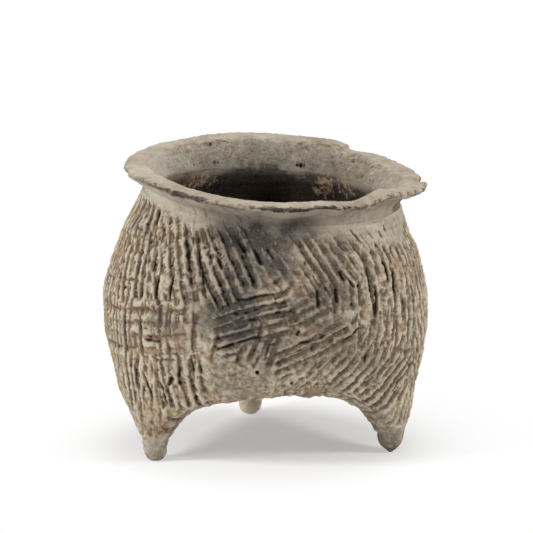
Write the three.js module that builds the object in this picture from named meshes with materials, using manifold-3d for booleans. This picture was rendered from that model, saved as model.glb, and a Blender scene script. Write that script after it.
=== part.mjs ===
import * as THREE from 'three'
import Module from 'manifold-3d'

const wasm = await Module()
wasm.setup()

// Driving dimensions. Millimetres, and degrees for azimuths, counted from +X towards +Y.
// The front of the pot faces -Y. Heights are counted from the ground.

// Clay and joints
const wallThickness = 5.5
const slipGap = 0.3
const jointBevel = 2.4

// Rim
const rimHeight = 135.8
const rimRadius = 75.4
const rimStretch = 1.9
const rimStretchAzimuth = 72
const creaseRadius = 63
const lipThickness = 3
const lipRounding = 1.2
const undersideDrop = 9
const undersideReach = 11
const undersideRoot = 0.2
const undersideHollow = 0.4
const throatFlare = [
  { out: 0.35, up: 0.5 },
  { out: 0.8, up: 0.9 },
]
const rimRipples = [
  { waves: 2, height: 1.15, crest: -64 },
  { waves: 3, height: 1.1, crest: -30 },
]
const rimDents = [
  { azimuth: 304, width: 9, depth: 1.8 },
  { azimuth: 319, width: 7, depth: -1.5 },
  { azimuth: 350, width: 11, depth: 1.7 },
  { azimuth: 73, width: 12, depth: -1.2 },
]
const notchAzimuth = 1.5
const notchWidth = 2.6
const notchDepth = 3.4
const chipAzimuth = 57
const chipLength = 11
const chipDepth = 1.8

// Neck and upper wall
const neckRadius = 62.3
const collarDrop = 11.8
const shoulderDrop = 10.8
const neckBandHeight = 10
const bellyHeight = 69
const jointAboveBelly = 5
const neckTop = rimHeight - collarDrop
const neckBottom = neckTop - neckBandHeight
const shoulderTop = rimHeight - shoulderDrop
const bellyJoint = bellyHeight + jointAboveBelly

// Cord marks pressed into the skin with a wound paddle: only the boldest ones, from the neck down.
// On the upper wall they lean over the front, and a patch above the front arch was wiped smooth.
const marksPerPouch = 11
const markDepth = 1.4
const markTop = rimHeight - 18.8
const markFade = 6
const markClear = 6
const markLean = 0.55
const markLeanAzimuth = 262
const markLeanWidth = 55
const wipedAzimuth = 258
const wipedHeight = 48
const wipedReach = 14

// Sag and lean of the soft clay, measured at the rim
const sagStart = 25
const sagBend = 1.15
const sagRight = 5.2
const sagFront = 4.3
const leanRight = 5.4
const leanFront = 3.5

// Legs: the azimuth and distance of each foot, the belly above it, and its nub
const legs = [
  {
    side: 'left', azimuth: 220.2, reach: 69.5, belly: 84.8,
    nubRadius: 5.4, nubHeight: 9.5, soleRadius: 3, nubRounding: 3.6,
  },
  {
    side: 'right', azimuth: 334.8, reach: 67.9, belly: 81.3,
    nubRadius: 5.2, nubHeight: 8.5, soleRadius: 2.4, nubRounding: 5.4,
  },
  {
    side: 'rear', azimuth: 98.6, reach: 50.7, belly: 81,
    nubRadius: 4.9, nubHeight: 10, soleRadius: 2.4, nubRounding: 5,
  },
]
const legFlare = 14.6
const legEndRadius = 5.5
const legEndMargin = 0.8
const legBlend = 3
const legFullness = 1.41
const tenonRadius = 2.7
const tenonLength = 5
const tenonTaper = 0.8

// Hollows of the legs
const hollowFloor = 20
const hollowTipRadius = 2
const hollowFlare = 17
const hollowFillet = 9

// Seams between the pouches, and how deep the valleys along them are
const seams = [
  { place: 'left', azimuth: 157 },
  { place: 'front', azimuth: 291.8 },
  { place: 'right', azimuth: 38 },
]
const valleyShare = 0.075
const valleyRun = 45
const archShare = 0.11
const archRun = 35

// Underside
const crotchHeight = 35.5
const legFillet = 2.5
const archFillet = 11.6
const padRadius = 12
const padBulge = 1.6
const stripWidth = 9
const stripThickness = 2.2
const stripRise = 5.5

// Fineness of the meshes
const columnsPerMark = 4
const pouchColumns = marksPerPouch * columnsPerMark
const columnEvenness = 0.85
const columnBend = 2.2
const pouchRows = 26
const neckRows = 3
const wallRows = 8
const innerRowShare = 0.5
const stripRows = 18
const stripColumns = 6
const roundSteps = 28

// A point inside the wall that sees the whole skin of its half-plane
const sightRadius = 50
const sightHeight = 75
const farAway = 120
const searchSteps = 30

const rad = THREE.MathUtils.degToRad
const clamp = THREE.MathUtils.clamp
const turn = 2 * Math.PI

function smooth(t) {
  const c = clamp(t, 0, 1)
  return c * c * (3 - 2 * c)
}

function mix(a, b, t) {
  return a + (b - a) * t
}

function turnBetween(a, b) {
  return Math.atan2(Math.sin(a - b), Math.cos(a - b))
}

// Largest of two values with a rounded corner
function roundedMax(a, b, fillet) {
  const h = Math.max(fillet - Math.abs(a - b), 0) / fillet
  return Math.max(a, b) + (h * h * fillet) / 4
}

// 0 along a leg and 1 along a seam
function seamShare(phi) {
  const marks = [
    ...legs.map((leg) => ({ at: rad(leg.azimuth), share: 0 })),
    ...seams.map((seam) => ({ at: rad(seam.azimuth), share: 1 })),
  ].sort((a, b) => a.at - b.at)
  const wrapped = ((phi % turn) + turn) % turn
  let next = marks.findIndex((mark) => mark.at > wrapped)
  if (next < 0) next = 0
  const after = marks[next]
  const before = marks[(next + marks.length - 1) % marks.length]
  const span = (((after.at - before.at) % turn) + turn) % turn
  const done = (((wrapped - before.at) % turn) + turn) % turn
  return (1 - Math.cos(Math.PI * mix(before.share, after.share, done / span))) / 2
}

// A leg's value carried round the pot, strongest near that leg
function blendLegs(phi, name) {
  let sum = 0
  let total = 0
  for (const leg of legs) {
    const weight = Math.exp(legBlend * (Math.cos(phi - rad(leg.azimuth)) - 1))
    sum += weight * leg[name]
    total += weight
  }
  return sum / total
}

// Outer radius of the wall, before it sags
function wallRadius(phi, z) {
  const belly = blendLegs(phi, 'belly')
  const ankle = blendLegs(phi, 'reach') + legEndRadius + legEndMargin
  const ankleHeight = blendLegs(phi, 'nubHeight')
  const above = clamp((shoulderTop - z) / (shoulderTop - bellyHeight), 0, 1)
  const below = clamp((z - ankleHeight) / (bellyHeight - ankleHeight), 0, 1)
  const base = z > bellyHeight
    ? mix(neckRadius, belly, Math.sin((Math.PI / 2) * above))
    : mix(ankle, belly, Math.sin((Math.PI / 2) * below) ** legFullness)
  const valley = valleyShare * smooth((shoulderTop - z) / valleyRun)
    + archShare * clamp((bellyHeight - z) / archRun, 0, 1) ** 1.5
  return base * (1 - valley * seamShare(phi))
}

// Height of the underside, which runs down to the end of each leg
function underside(x, y, top, endRadius, flare, floorOf) {
  let drop = 0
  for (const leg of legs) {
    const away = Math.hypot(
      x - leg.reach * Math.cos(rad(leg.azimuth)),
      y - leg.reach * Math.sin(rad(leg.azimuth)),
    )
    const fall = Math.exp(-Math.max(away - endRadius, 0) / flare)
    drop = Math.max(drop, (top - floorOf(leg)) * fall)
  }
  return top - drop
}

function outerFloor(phi, r) {
  const x = r * Math.cos(phi)
  const y = r * Math.sin(phi)
  return underside(x, y, crotchHeight, legEndRadius, legFlare, (leg) => leg.nubHeight)
}

function innerFloor(phi, r) {
  const x = r * Math.cos(phi)
  const y = r * Math.sin(phi)
  const top = crotchHeight + wallThickness
  return underside(x, y, top, hollowTipRadius, hollowFlare, () => hollowFloor)
}

// Where a column of points that starts at an azimuth of the belly joint has leant to
function leaning(phi, z) {
  const rise = clamp(z, bellyJoint, neckBottom) - bellyJoint
  const away = turnBetween(phi, rad(markLeanAzimuth)) / rad(markLeanWidth)
  return phi - (markLean * rise * Math.exp(-(away ** 2))) / blendLegs(phi, 'belly')
}

// How deep the cord mark is at a place on the skin, on one of the columns that run along the marks
function cordMark(column, phi, r, z) {
  const wave = (1 - Math.cos((turn * column) / columnsPerMark)) / 2
  const belowNeck = smooth((markTop - z) / markFade)
  const aboveArch = smooth((z - outerFloor(phi, r) - markClear) / markFade)
  const aside = turnBetween(phi, rad(wipedAzimuth)) * r
  const wiped = smooth((wipedReach - Math.hypot(aside, z - wipedHeight)) / markFade)
  return markDepth * wave * belowNeck * aboveArch * (1 - wiped)
}

// Inner radius of the wall, at an even thickness across its slope
function innerRadius(phi, z) {
  const step = 0.5
  const slope = (wallRadius(phi, z + step) - wallRadius(phi, z - step)) / (2 * step)
  return wallRadius(phi, z) - wallThickness * Math.hypot(1, slope)
}

const outerSkin = {
  radius: wallRadius,
  floor: outerFloor,
  fillet: (phi) => mix(legFillet, archFillet, seamShare(phi)),
}
const innerSkin = {
  radius: innerRadius,
  floor: innerFloor,
  fillet: () => hollowFillet,
}

// The skin's point in the half-plane phi, seen from the sight point along the angle beta
function skinPoint(skin, phi, beta) {
  const fillet = skin.fillet(phi)
  let near = 0
  let far = farAway
  for (let i = 0; i < searchSteps; i++) {
    const middle = (near + far) / 2
    const r = sightRadius + middle * Math.cos(beta)
    const z = sightHeight + middle * Math.sin(beta)
    const outside = roundedMax(skin.floor(phi, r) - z, r - skin.radius(phi, z), fillet) > 0
    if (outside) far = middle
    else near = middle
  }
  return { r: sightRadius + near * Math.cos(beta), z: sightHeight + near * Math.sin(beta) }
}

function sightAngle(r, z) {
  const angle = Math.atan2(z - sightHeight, r - sightRadius)
  return angle > Math.PI / 2 ? angle - turn : angle
}

// Moves a point of the upright pot to where the soft clay sagged and leant
function settle(point) {
  const lift = Math.max((point.z - sagStart) / (rimHeight - sagStart), 0) ** sagBend
  const sag = (sagRight * point.x - sagFront * point.y) / rimRadius
  return new THREE.Vector3(
    point.x + leanRight * lift * lift,
    point.y - leanFront * lift * lift,
    point.z - sag * lift,
  )
}

function around(phi, r, z) {
  return new THREE.Vector3(r * Math.cos(phi), r * Math.sin(phi), z)
}

function steps(count) {
  return Array.from({ length: count + 1 }, (_, i) => i / count)
}

// A closed geometry between an outer and an inner grid of points, each grid[row][column].
// The two have the same columns, and may have different rows.
function shellGeometry(outer, inner, goesRound) {
  const positions = []
  const triangles = []
  const addGrid = (grid) => grid.map((row) => row.map((point) => {
    positions.push(point.x, point.y, point.z)
    return positions.length / 3 - 1
  }))
  const quad = (a, b, c, d) => triangles.push(a, b, c, a, c, d)
  const stitch = (first, second) => {
    let i = 0
    let j = 0
    while (i + 1 < first.length || j + 1 < second.length) {
      const secondNext = (i + 1) / (first.length - 1) > (j + 1) / (second.length - 1)
      if (secondNext) triangles.push(first[i], second[j], second[++j])
      else triangles.push(first[i], second[j], first[++i])
    }
  }
  const a = addGrid(outer)
  const b = addGrid(inner)
  const columns = a[0].length
  const spans = goesRound ? columns : columns - 1
  const next = (column) => (column + 1) % columns
  const weave = (grid, flip) => {
    for (let row = 0; row + 1 < grid.length; row++) {
      for (let column = 0; column < spans; column++) {
        const corners = [
          grid[row][column], grid[row + 1][column],
          grid[row + 1][next(column)], grid[row][next(column)],
        ]
        quad(...(flip ? corners.reverse() : corners))
      }
    }
  }
  weave(a, false)
  weave(b, true)
  const last = a.length - 1
  const lastInner = b.length - 1
  for (let column = 0; column < spans; column++) {
    quad(a[0][next(column)], b[0][next(column)], b[0][column], a[0][column])
    quad(a[last][column], b[lastInner][column], b[lastInner][next(column)], a[last][next(column)])
  }
  if (!goesRound) {
    stitch(a.map((row) => row[0]), b.map((row) => row[0]))
    stitch(b.map((row) => row[spans]), a.map((row) => row[spans]))
  }
  const geometry = new THREE.BufferGeometry()
  geometry.setAttribute('position', new THREE.Float32BufferAttribute(positions, 3))
  geometry.setIndex(triangles)
  return facingOut(geometry)
}

function facingOut(geometry) {
  const position = geometry.getAttribute('position')
  const index = geometry.getIndex()
  const corners = [new THREE.Vector3(), new THREE.Vector3(), new THREE.Vector3()]
  let volume = 0
  for (let i = 0; i < index.count; i += 3) {
    corners.forEach((corner, j) => corner.fromBufferAttribute(position, index.getX(i + j)))
    volume += corners[0].dot(corners[1].clone().cross(corners[2])) / 6
  }
  if (volume < 0) index.array.reverse()
  return geometry
}

// A lathed solid as a geometry with shared corners
function lathe(profile, segments = roundSteps) {
  const columns = steps(segments).slice(0, -1).map((t) => t * turn)
  const ends = [profile[0], profile[profile.length - 1]]
  const rings = profile.slice(1, -1)
  const positions = []
  const triangles = []
  const ring = (row, column) => row * segments + (column % segments)
  rings.forEach(([r, z]) => columns.forEach((phi) => {
    positions.push(r * Math.cos(phi), r * Math.sin(phi), z)
  }))
  const first = positions.length / 3
  ends.forEach(([, z]) => positions.push(0, 0, z))
  for (let column = 0; column < segments; column++) {
    triangles.push(first, ring(0, column + 1), ring(0, column))
    triangles.push(first + 1, ring(rings.length - 1, column), ring(rings.length - 1, column + 1))
    for (let row = 0; row + 1 < rings.length; row++) {
      triangles.push(ring(row, column), ring(row, column + 1), ring(row + 1, column + 1))
      triangles.push(ring(row, column), ring(row + 1, column + 1), ring(row + 1, column))
    }
  }
  const geometry = new THREE.BufferGeometry()
  geometry.setAttribute('position', new THREE.Float32BufferAttribute(positions, 3))
  geometry.setIndex(triangles)
  return facingOut(geometry)
}

function toSolid(geometry) {
  return new wasm.Manifold(new wasm.Mesh({
    numProp: 3,
    vertProperties: new Float32Array(geometry.getAttribute('position').array),
    triVerts: new Uint32Array(geometry.getIndex().array),
  }))
}

function subtract(geometry, ...cutters) {
  let solid = toSolid(geometry)
  for (const cutter of cutters) solid = solid.subtract(toSolid(cutter))
  const mesh = solid.getMesh()
  const result = new THREE.BufferGeometry()
  result.setAttribute('position', new THREE.BufferAttribute(mesh.vertProperties, 3))
  result.setIndex(new THREE.BufferAttribute(mesh.triVerts, 1))
  return result
}

// The bevelled faces of a joint: the wall above it starts at these heights, the one below ends there
function jointEdges(height, side) {
  const shift = (side * slipGap) / 2
  return { outer: height - jointBevel / 2 + shift, inner: height + jointBevel / 2 + shift }
}

// A band of the wall between two joints, as a ring
function wallBand(top, bottom, rows) {
  const upper = jointEdges(top, -1)
  const lower = jointEdges(bottom, 1)
  const columns = ringAzimuths()
  const side = (edge, count, radiusAt) => steps(count).map((t) => columns.map((start, column) => {
    const z = mix(upper[edge], lower[edge], t)
    const phi = leaning(start, z)
    return settle(around(phi, radiusAt(phi, z, column), z))
  }))
  const outside = side('outer', rows, (phi, z, column) => {
    const r = wallRadius(phi, z)
    return r - cordMark(column, phi, r, z)
  })
  const inside = side('inner', Math.ceil(rows * innerRowShare), innerRadius)
  return shellGeometry(outside, inside, true)
}

function rimTop(phi) {
  let z = rimHeight
  for (const ripple of rimRipples) {
    z += ripple.height * Math.cos(ripple.waves * (phi - rad(ripple.crest)))
  }
  for (const dent of rimDents) {
    const away = turnBetween(phi, rad(dent.azimuth))
    z -= dent.depth * Math.exp(-((away / rad(dent.width)) ** 2))
  }
  return z
}

function rimEdge(phi) {
  return rimRadius + rimStretch * Math.cos(2 * (phi - rad(rimStretchAzimuth)))
}

// The everted flange, from its bevelled seat on the neck to the lip and down the throat
function rimGeometry() {
  const seat = jointEdges(neckTop, 1)
  const columns = ringAzimuths().map((phi) => leaning(phi, neckTop))
  const outside = (phi) => {
    const top = rimTop(phi)
    const edge = rimEdge(phi)
    return [
      [wallRadius(phi, seat.outer), seat.outer],
      [neckRadius, shoulderTop + slipGap],
      [mix(edge - undersideReach, neckRadius, undersideRoot), top - undersideDrop],
      [edge - undersideReach / 2, top - (undersideDrop + lipThickness) / 2 + undersideHollow],
      [edge - lipRounding, top - lipThickness],
      [edge, top - lipThickness / 2],
      [edge - lipRounding, top - lipRounding / 4],
    ]
  }
  const inside = (phi) => {
    const top = rimTop(phi)
    const throat = innerRadius(phi, seat.inner)
    return [
      [throat, seat.inner],
      ...throatFlare.map(({ out, up }) => [mix(throat, creaseRadius, out), mix(seat.inner, top, up)]),
      [creaseRadius + lipRounding, top],
    ]
  }
  const grid = (section) => {
    const rows = section(0).map(() => [])
    for (const phi of columns) {
      section(phi).forEach(([r, z], row) => rows[row].push(settle(around(phi, r, z))))
    }
    return rows
  }
  const flange = shellGeometry(grid(outside), grid(inside), true)
  return subtract(flange, lipCut(notchAzimuth, notchWidth, notchDepth), chipCut())
}

// A wedge that cuts a notch into the lip
function lipCut(azimuth, width, depth) {
  const phi = rad(azimuth)
  const edge = rimEdge(phi)
  const outline = new THREE.Shape([
    new THREE.Vector2(edge - depth, 0),
    new THREE.Vector2(edge + depth, -width),
    new THREE.Vector2(edge + depth, width),
  ])
  return slab(outline, phi)
}

// A shallow slice broken off the lip, deepest near one end
function chipCut() {
  const phi = rad(chipAzimuth)
  const edge = rimEdge(phi)
  const outline = new THREE.Shape([
    new THREE.Vector2(edge - chipDepth, chipLength / 4),
    new THREE.Vector2(edge + chipDepth, chipLength / 2),
    new THREE.Vector2(edge + chipDepth, -chipLength / 2),
    new THREE.Vector2(edge - chipDepth / 3, -chipLength / 2),
  ])
  return slab(outline, phi)
}

// An upright prism on an outline, turned to an azimuth of the leaning rim
function slab(outline, phi) {
  const tall = 3 * undersideDrop
  const geometry = new THREE.ExtrudeGeometry(outline, { depth: tall, bevelEnabled: false })
  geometry.translate(0, 0, rimHeight - tall / 2)
  geometry.rotateZ(phi)
  geometry.translate(leanRight, -leanFront, 0)
  return weld(geometry)
}

// Joins the corners that lie at the same place
function weld(geometry) {
  const source = geometry.getAttribute('position')
  const found = new Map()
  const positions = []
  const triangles = []
  for (let i = 0; i < source.count; i++) {
    const point = [source.getX(i), source.getY(i), source.getZ(i)]
    const key = point.map((value) => value.toFixed(4)).join(' ')
    if (!found.has(key)) {
      found.set(key, positions.length / 3)
      positions.push(...point)
    }
    triangles.push(found.get(key))
  }
  const welded = new THREE.BufferGeometry()
  welded.setAttribute('position', new THREE.Float32BufferAttribute(positions, 3))
  welded.setIndex(triangles)
  return facingOut(welded)
}

// The azimuths of the seams on both sides of a leg
function seamsBeside(leg) {
  const at = rad(leg.azimuth)
  const gaps = seams.map((seam) => (((rad(seam.azimuth) - at) % turn) + turn) % turn)
  return { from: at + Math.max(...gaps) - turn, at, to: at + Math.min(...gaps) }
}

// Columns from seam to seam, a little closer together at the leg
function pouchAzimuths(leg) {
  const { from, at, to } = seamsBeside(leg)
  return steps(pouchColumns).map((t) => {
    const side = 2 * t - 1
    const share = mix(Math.abs(side) ** columnBend, Math.abs(side), columnEvenness)
    return side < 0 ? mix(at, from, share) : mix(at, to, share)
  })
}

// The same columns all round, so that the rings and the pouches meet corner to corner
function ringAzimuths() {
  const inOrder = [...legs].sort((a, b) => seamsBeside(a).from - seamsBeside(b).from)
  return inOrder.flatMap((leg) => pouchAzimuths(leg).slice(0, -1))
}

// One hollow leg: a third of the lower body, with a socket for its nub
function pouchGeometry(leg) {
  const edges = jointEdges(bellyJoint, -1)
  const azimuths = pouchAzimuths(leg)
  const grid = (skin, top, rows) => steps(rows).map((t) => azimuths.map((phi, column) => {
    const start = sightAngle(skin.radius(phi, top), top)
    const end = sightAngle(padRadius, skin.floor(phi, padRadius))
    const beta = mix(start, end, t)
    const { r, z } = skinPoint(skin, phi, beta)
    const mark = skin === outerSkin ? cordMark(column, phi, r, z) : 0
    const point = around(phi, r - mark, z)
    const border = column === 0 ? 1 : column === azimuths.length - 1 ? -1 : 0
    const aside = (border * slipGap) / 2
    point.x -= aside * Math.sin(phi)
    point.y += aside * Math.cos(phi)
    return settle(point)
  }))
  const outside = grid(outerSkin, edges.outer, pouchRows)
  const inside = grid(innerSkin, edges.inner, Math.ceil(pouchRows * innerRowShare))
  const shell = shellGeometry(outside, inside, false)
  const socketRadius = tenonRadius + slipGap
  const socketTop = leg.nubHeight + tenonLength + slipGap
  const socket = lathe([
    [0, leg.nubHeight - tenonLength],
    [socketRadius, leg.nubHeight - tenonLength],
    [socketRadius, socketTop - tenonTaper],
    [socketRadius - tenonTaper, socketTop],
    [0, socketTop],
  ])
  socket.translate(...footPlace(leg))
  return subtract(shell, socket)
}

function footPlace(leg) {
  return [leg.reach * Math.cos(rad(leg.azimuth)), leg.reach * Math.sin(rad(leg.azimuth)), 0]
}

// The solid nub under a leg, with its flat sole and the tenon that sits in the leg's socket
function footGeometry(leg) {
  const shoulder = leg.nubHeight - slipGap
  const tenonTop = leg.nubHeight + tenonLength
  const rounding = steps(6).map((t) => {
    const angle = (t * Math.PI) / 2
    const r = mix(leg.soleRadius, leg.nubRadius, Math.sin(angle))
    return [r, leg.nubRounding * (1 - Math.cos(angle))]
  })
  const nub = lathe([
    [0, 0],
    ...rounding,
    [leg.nubRadius, shoulder],
    [tenonRadius, shoulder],
    [tenonRadius, tenonTop - tenonTaper],
    [tenonRadius - tenonTaper, tenonTop],
    [0, tenonTop],
  ])
  nub.translate(...footPlace(leg))
  return nub
}

// A strip of clay pressed along the underside of a seam
function stripGeometry(seam) {
  const phi = rad(seam.azimuth)
  const stripTop = crotchHeight + stripRise
  const start = sightAngle(padRadius, outerFloor(phi, padRadius))
  const end = sightAngle(wallRadius(phi, stripTop), stripTop)
  const startRadius = padRadius + slipGap
  const nudge = 0.01
  const grid = (offset) => steps(stripRows).map((t) => {
    const beta = mix(start, end, t)
    return steps(stripColumns).map((s) => {
      const across = (s - 0.5) * stripWidth
      const foot = skinPoint(outerSkin, phi, beta)
      const r = Math.max(foot.r, startRadius)
      const turned = phi + Math.atan2(across, r)
      const here = skinPoint(outerSkin, turned, beta)
      const there = skinPoint(outerSkin, turned, beta + nudge)
      const along = Math.hypot(there.r - here.r, there.z - here.z)
      const rise = offset(2 * s - 1, t)
      const normal = { r: (there.z - here.z) / along, z: (here.r - there.r) / along }
      const z = here.z - rise * normal.z
      const radius = Math.max(here.r - rise * normal.r, startRadius) / Math.cos(turned - phi)
      return settle(around(turned, radius, z))
    })
  })
  const seat = () => -slipGap
  const crown = (side, t) => {
    const ends = Math.min(1, 6 * (1 - t))
    return -slipGap - stripThickness * (0.25 + 0.75 * (1 - side * side) * ends)
  }
  return shellGeometry(grid(crown), grid(seat), false)
}

// The patch where the three strips meet
function padGeometry() {
  const edge = padRadius - slipGap
  const top = crotchHeight + wallThickness
  const pad = lathe([
    [0, crotchHeight - padBulge],
    [edge / 2, crotchHeight - padBulge],
    [edge - 1, crotchHeight - padBulge / 2],
    [edge, crotchHeight],
    [edge, top],
    [0, top],
  ])
  const position = pad.getAttribute('position')
  for (let i = 0; i < position.count; i++) {
    const point = settle(new THREE.Vector3().fromBufferAttribute(position, i))
    position.setXYZ(i, point.x, point.y, point.z)
  }
  return pad
}

const clayColors = {
  rim: '#948a78',
  neck: '#8b8170',
  wall: '#8a7f6c',
  pouch: '#877b68',
  strip: '#8d816c',
  foot: '#8c8070',
  paleFoot: '#b9a88e',
}

function clay(color) {
  return new THREE.MeshStandardMaterial({ color, roughness: 0.92, metalness: 0 })
}

const pot = new THREE.Group()
pot.name = 'tripod_pottery_vessel'

function addPiece(name, geometry, color) {
  geometry.computeVertexNormals()
  const mesh = new THREE.Mesh(geometry, clay(color))
  mesh.name = name
  pot.add(mesh)
}

addPiece('rim', rimGeometry(), clayColors.rim)
addPiece('neck_band', wallBand(neckTop, neckBottom, neckRows), clayColors.neck)
addPiece('upper_wall', wallBand(neckBottom, bellyJoint, wallRows), clayColors.wall)
for (const leg of legs) {
  const footColor = leg.side === 'rear' ? clayColors.paleFoot : clayColors.foot
  addPiece(`pouch_${leg.side}`, pouchGeometry(leg), clayColors.pouch)
  addPiece(`foot_tip_${leg.side}`, footGeometry(leg), footColor)
}
for (const seam of seams) {
  addPiece(`crotch_strip_${seam.place}`, stripGeometry(seam), clayColors.strip)
}
addPiece('crotch_pad', padGeometry(), clayColors.strip)

// The origin is on the ground, under the middle of the pot's outline
const extent = new THREE.Box3().setFromObject(pot)
const middle = extent.getCenter(new THREE.Vector3())
for (const mesh of pot.children) mesh.position.set(-middle.x, -middle.y, -extent.min.z)
console.log('origin', middle.x.toFixed(2), middle.y.toFixed(2), extent.min.z.toFixed(3))

export default pot
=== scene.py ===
import math

import bpy
import numpy as np
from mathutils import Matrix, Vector


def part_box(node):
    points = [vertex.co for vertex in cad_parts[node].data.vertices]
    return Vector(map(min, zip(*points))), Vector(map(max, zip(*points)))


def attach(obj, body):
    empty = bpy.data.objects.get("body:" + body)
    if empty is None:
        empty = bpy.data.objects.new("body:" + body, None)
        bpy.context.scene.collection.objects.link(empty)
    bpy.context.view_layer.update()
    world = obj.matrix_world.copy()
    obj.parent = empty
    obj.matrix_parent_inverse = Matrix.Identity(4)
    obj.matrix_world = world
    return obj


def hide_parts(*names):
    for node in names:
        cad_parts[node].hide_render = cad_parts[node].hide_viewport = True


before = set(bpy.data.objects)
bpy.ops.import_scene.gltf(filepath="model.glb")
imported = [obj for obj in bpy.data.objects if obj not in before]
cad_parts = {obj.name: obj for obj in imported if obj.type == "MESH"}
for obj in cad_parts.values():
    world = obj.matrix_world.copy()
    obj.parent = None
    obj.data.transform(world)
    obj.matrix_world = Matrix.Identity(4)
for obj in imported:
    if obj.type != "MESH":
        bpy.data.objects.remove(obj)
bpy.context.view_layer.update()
print("stage: frame loaded", len(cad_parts), "nodes")

# The shape is the CAD part's, in millimetres and degrees, and is made into metres at the end
metre = 0.001
turn = 2 * math.pi
detail = 1.0

pot = {
    "wall": 5.5, "bevel": 2.4, "shoulderTop": 125.0, "neckTop": 124.0, "neckBottom": 114.0,
    "bellyJoint": 74.0, "belly": 69.0, "neckRadius": 62.3, "legFlare": 14.6, "legEnd": 5.5,
    "legEndMargin": 0.8, "legBlend": 3.0, "legFullness": 1.41, "valley": 0.075, "valleyRun": 45.0,
    "arch": 0.11, "archRun": 35.0, "crotch": 35.5, "legFillet": 2.5, "archFillet": 11.6,
    "padRadius": 12.0, "padBulge": 1.6, "hollowFloor": 20.0, "hollowTip": 2.0, "hollowFlare": 17.0,
    "hollowFillet": 9.0, "stripWidth": 9.0, "stripThickness": 2.2, "stripRise": 5.5,
}
rim = {
    "height": 135.8, "radius": 75.4, "stretch": 1.9, "stretchAt": 72, "crease": 63.0, "lip": 3.0,
    "drop": 9.0, "notchAt": 1.5, "notchDepth": 4.9, "notchWidth": 9.4,
    "chipAt": 61, "chipLength": 13, "chipDepth": 2.0, "chipDrop": 0.9,
    # Waves round the pot, rise and crest; then azimuth, width and depth of each dent, and of each thin
    # stretch of lip
    "ripples": [(2, 1.15, -64), (3, 1.1, -30)],
    "dents": [(304, 9, 1.8), (319, 7, -1.5), (350, 11, 1.7), (73, 12, -1.2), (262, 36, 1.3), (66, 6, -1.0),
              (45, 18, -0.9)],
    "thinned": [(258, 40, 0.9), (290, 60, 0.6), (203, 24, 0.8)],
}
# Clay in the corner under the rim: how thick all round, how much more at the front, and how far round
corner = {"thickness": 0.6, "atFront": 0.7, "frontAt": 270, "reach": 78, "fade": 32}
sag = {"start": 25.0, "bend": 1.15, "right": 5.2, "front": 4.3, "leanRight": 5.4, "leanFront": 3.5}
# The neck is pinched in on the right, and let go again below the lip
pinched = {"by": 1.7, "from": 98.0, "to": 133.0}
legs = [
    {"side": "rear", "azimuth": 98.6, "reach": 50.7, "belly": 81.0, "nubHeight": 10.0, "sole": 2.0,
     "rounding": 5.6, "drawn": 6.0, "over": 0.3, "waist": 6.0, "point": 1.3, "rusty": 0.0},
    {"side": "left", "azimuth": 220.2, "reach": 69.5, "belly": 84.8, "nubHeight": 9.5, "sole": 2.3,
     "rounding": 6.2, "drawn": 6.0, "over": 0.3, "waist": 5.6, "point": 1.15, "rusty": 0.1},
    {"side": "right", "azimuth": 334.8, "reach": 67.9, "belly": 81.3, "nubHeight": 8.5, "sole": 1.1,
     "rounding": 7.2, "drawn": 10.0, "over": 0.6, "waist": 6.2, "point": 2.3, "rusty": 0.1},
]
seams = [("right", 38.0), ("left", 157.0), ("front", 291.8)]
rowsOf = {"neck": 20, "wall": 74, "pouch": 236, "rimOut": 97, "innerWall": 26, "innerPouch": 38}
columnsPerDegree = 2.66

# The CAD part has its origin under the middle of its outline; this moves the pot's axis there
leftLow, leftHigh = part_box("foot_tip_left")
leftLeg = legs[1]
axisShift = np.array([
    (leftLow.x + leftHigh.x) / 2 / metre - leftLeg["reach"] * math.cos(math.radians(leftLeg["azimuth"])),
    (leftLow.y + leftHigh.y) / 2 / metre - leftLeg["reach"] * math.sin(math.radians(leftLeg["azimuth"])),
    0.0,
])


def smooth(t):
    t = np.clip(t, 0, 1)
    return t * t * (3 - 2 * t)


def mix(a, b, t):
    return a + (b - a) * t


def roundedMax(a, b, fillet):
    h = np.maximum(fillet - np.abs(a - b), 0) / fillet
    return np.maximum(a, b) + h * h * fillet / 4


def bump(away, width):
    return np.exp(-((away / width) ** 2))


def turnBetween(a, b):
    return np.arctan2(np.sin(a - b), np.cos(a - b))


def degreesFrom(phi, azimuth):
    return np.degrees(turnBetween(phi, math.radians(azimuth)))


def bumpAt(phi, azimuth, width):
    return bump(turnBetween(phi, math.radians(azimuth)), math.radians(width))


def seamShare(phi):
    marks = [(math.radians(leg["azimuth"]), 0.0) for leg in legs]
    marks += [(math.radians(at), 1.0) for _, at in seams]
    marks.sort()
    at = np.array([m[0] for m in marks])
    share = np.array([m[1] for m in marks])
    at = np.concatenate([[at[-1] - turn], at, [at[0] + turn]])
    share = np.concatenate([[share[-1]], share, [share[0]]])
    return (1 - np.cos(math.pi * np.interp(np.mod(phi, turn), at, share))) / 2


def blendLegs(phi, name):
    weights = [np.exp(pot["legBlend"] * (np.cos(phi - math.radians(leg["azimuth"])) - 1)) for leg in legs]
    return sum(w * leg[name] for w, leg in zip(weights, legs)) / sum(weights)


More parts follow.
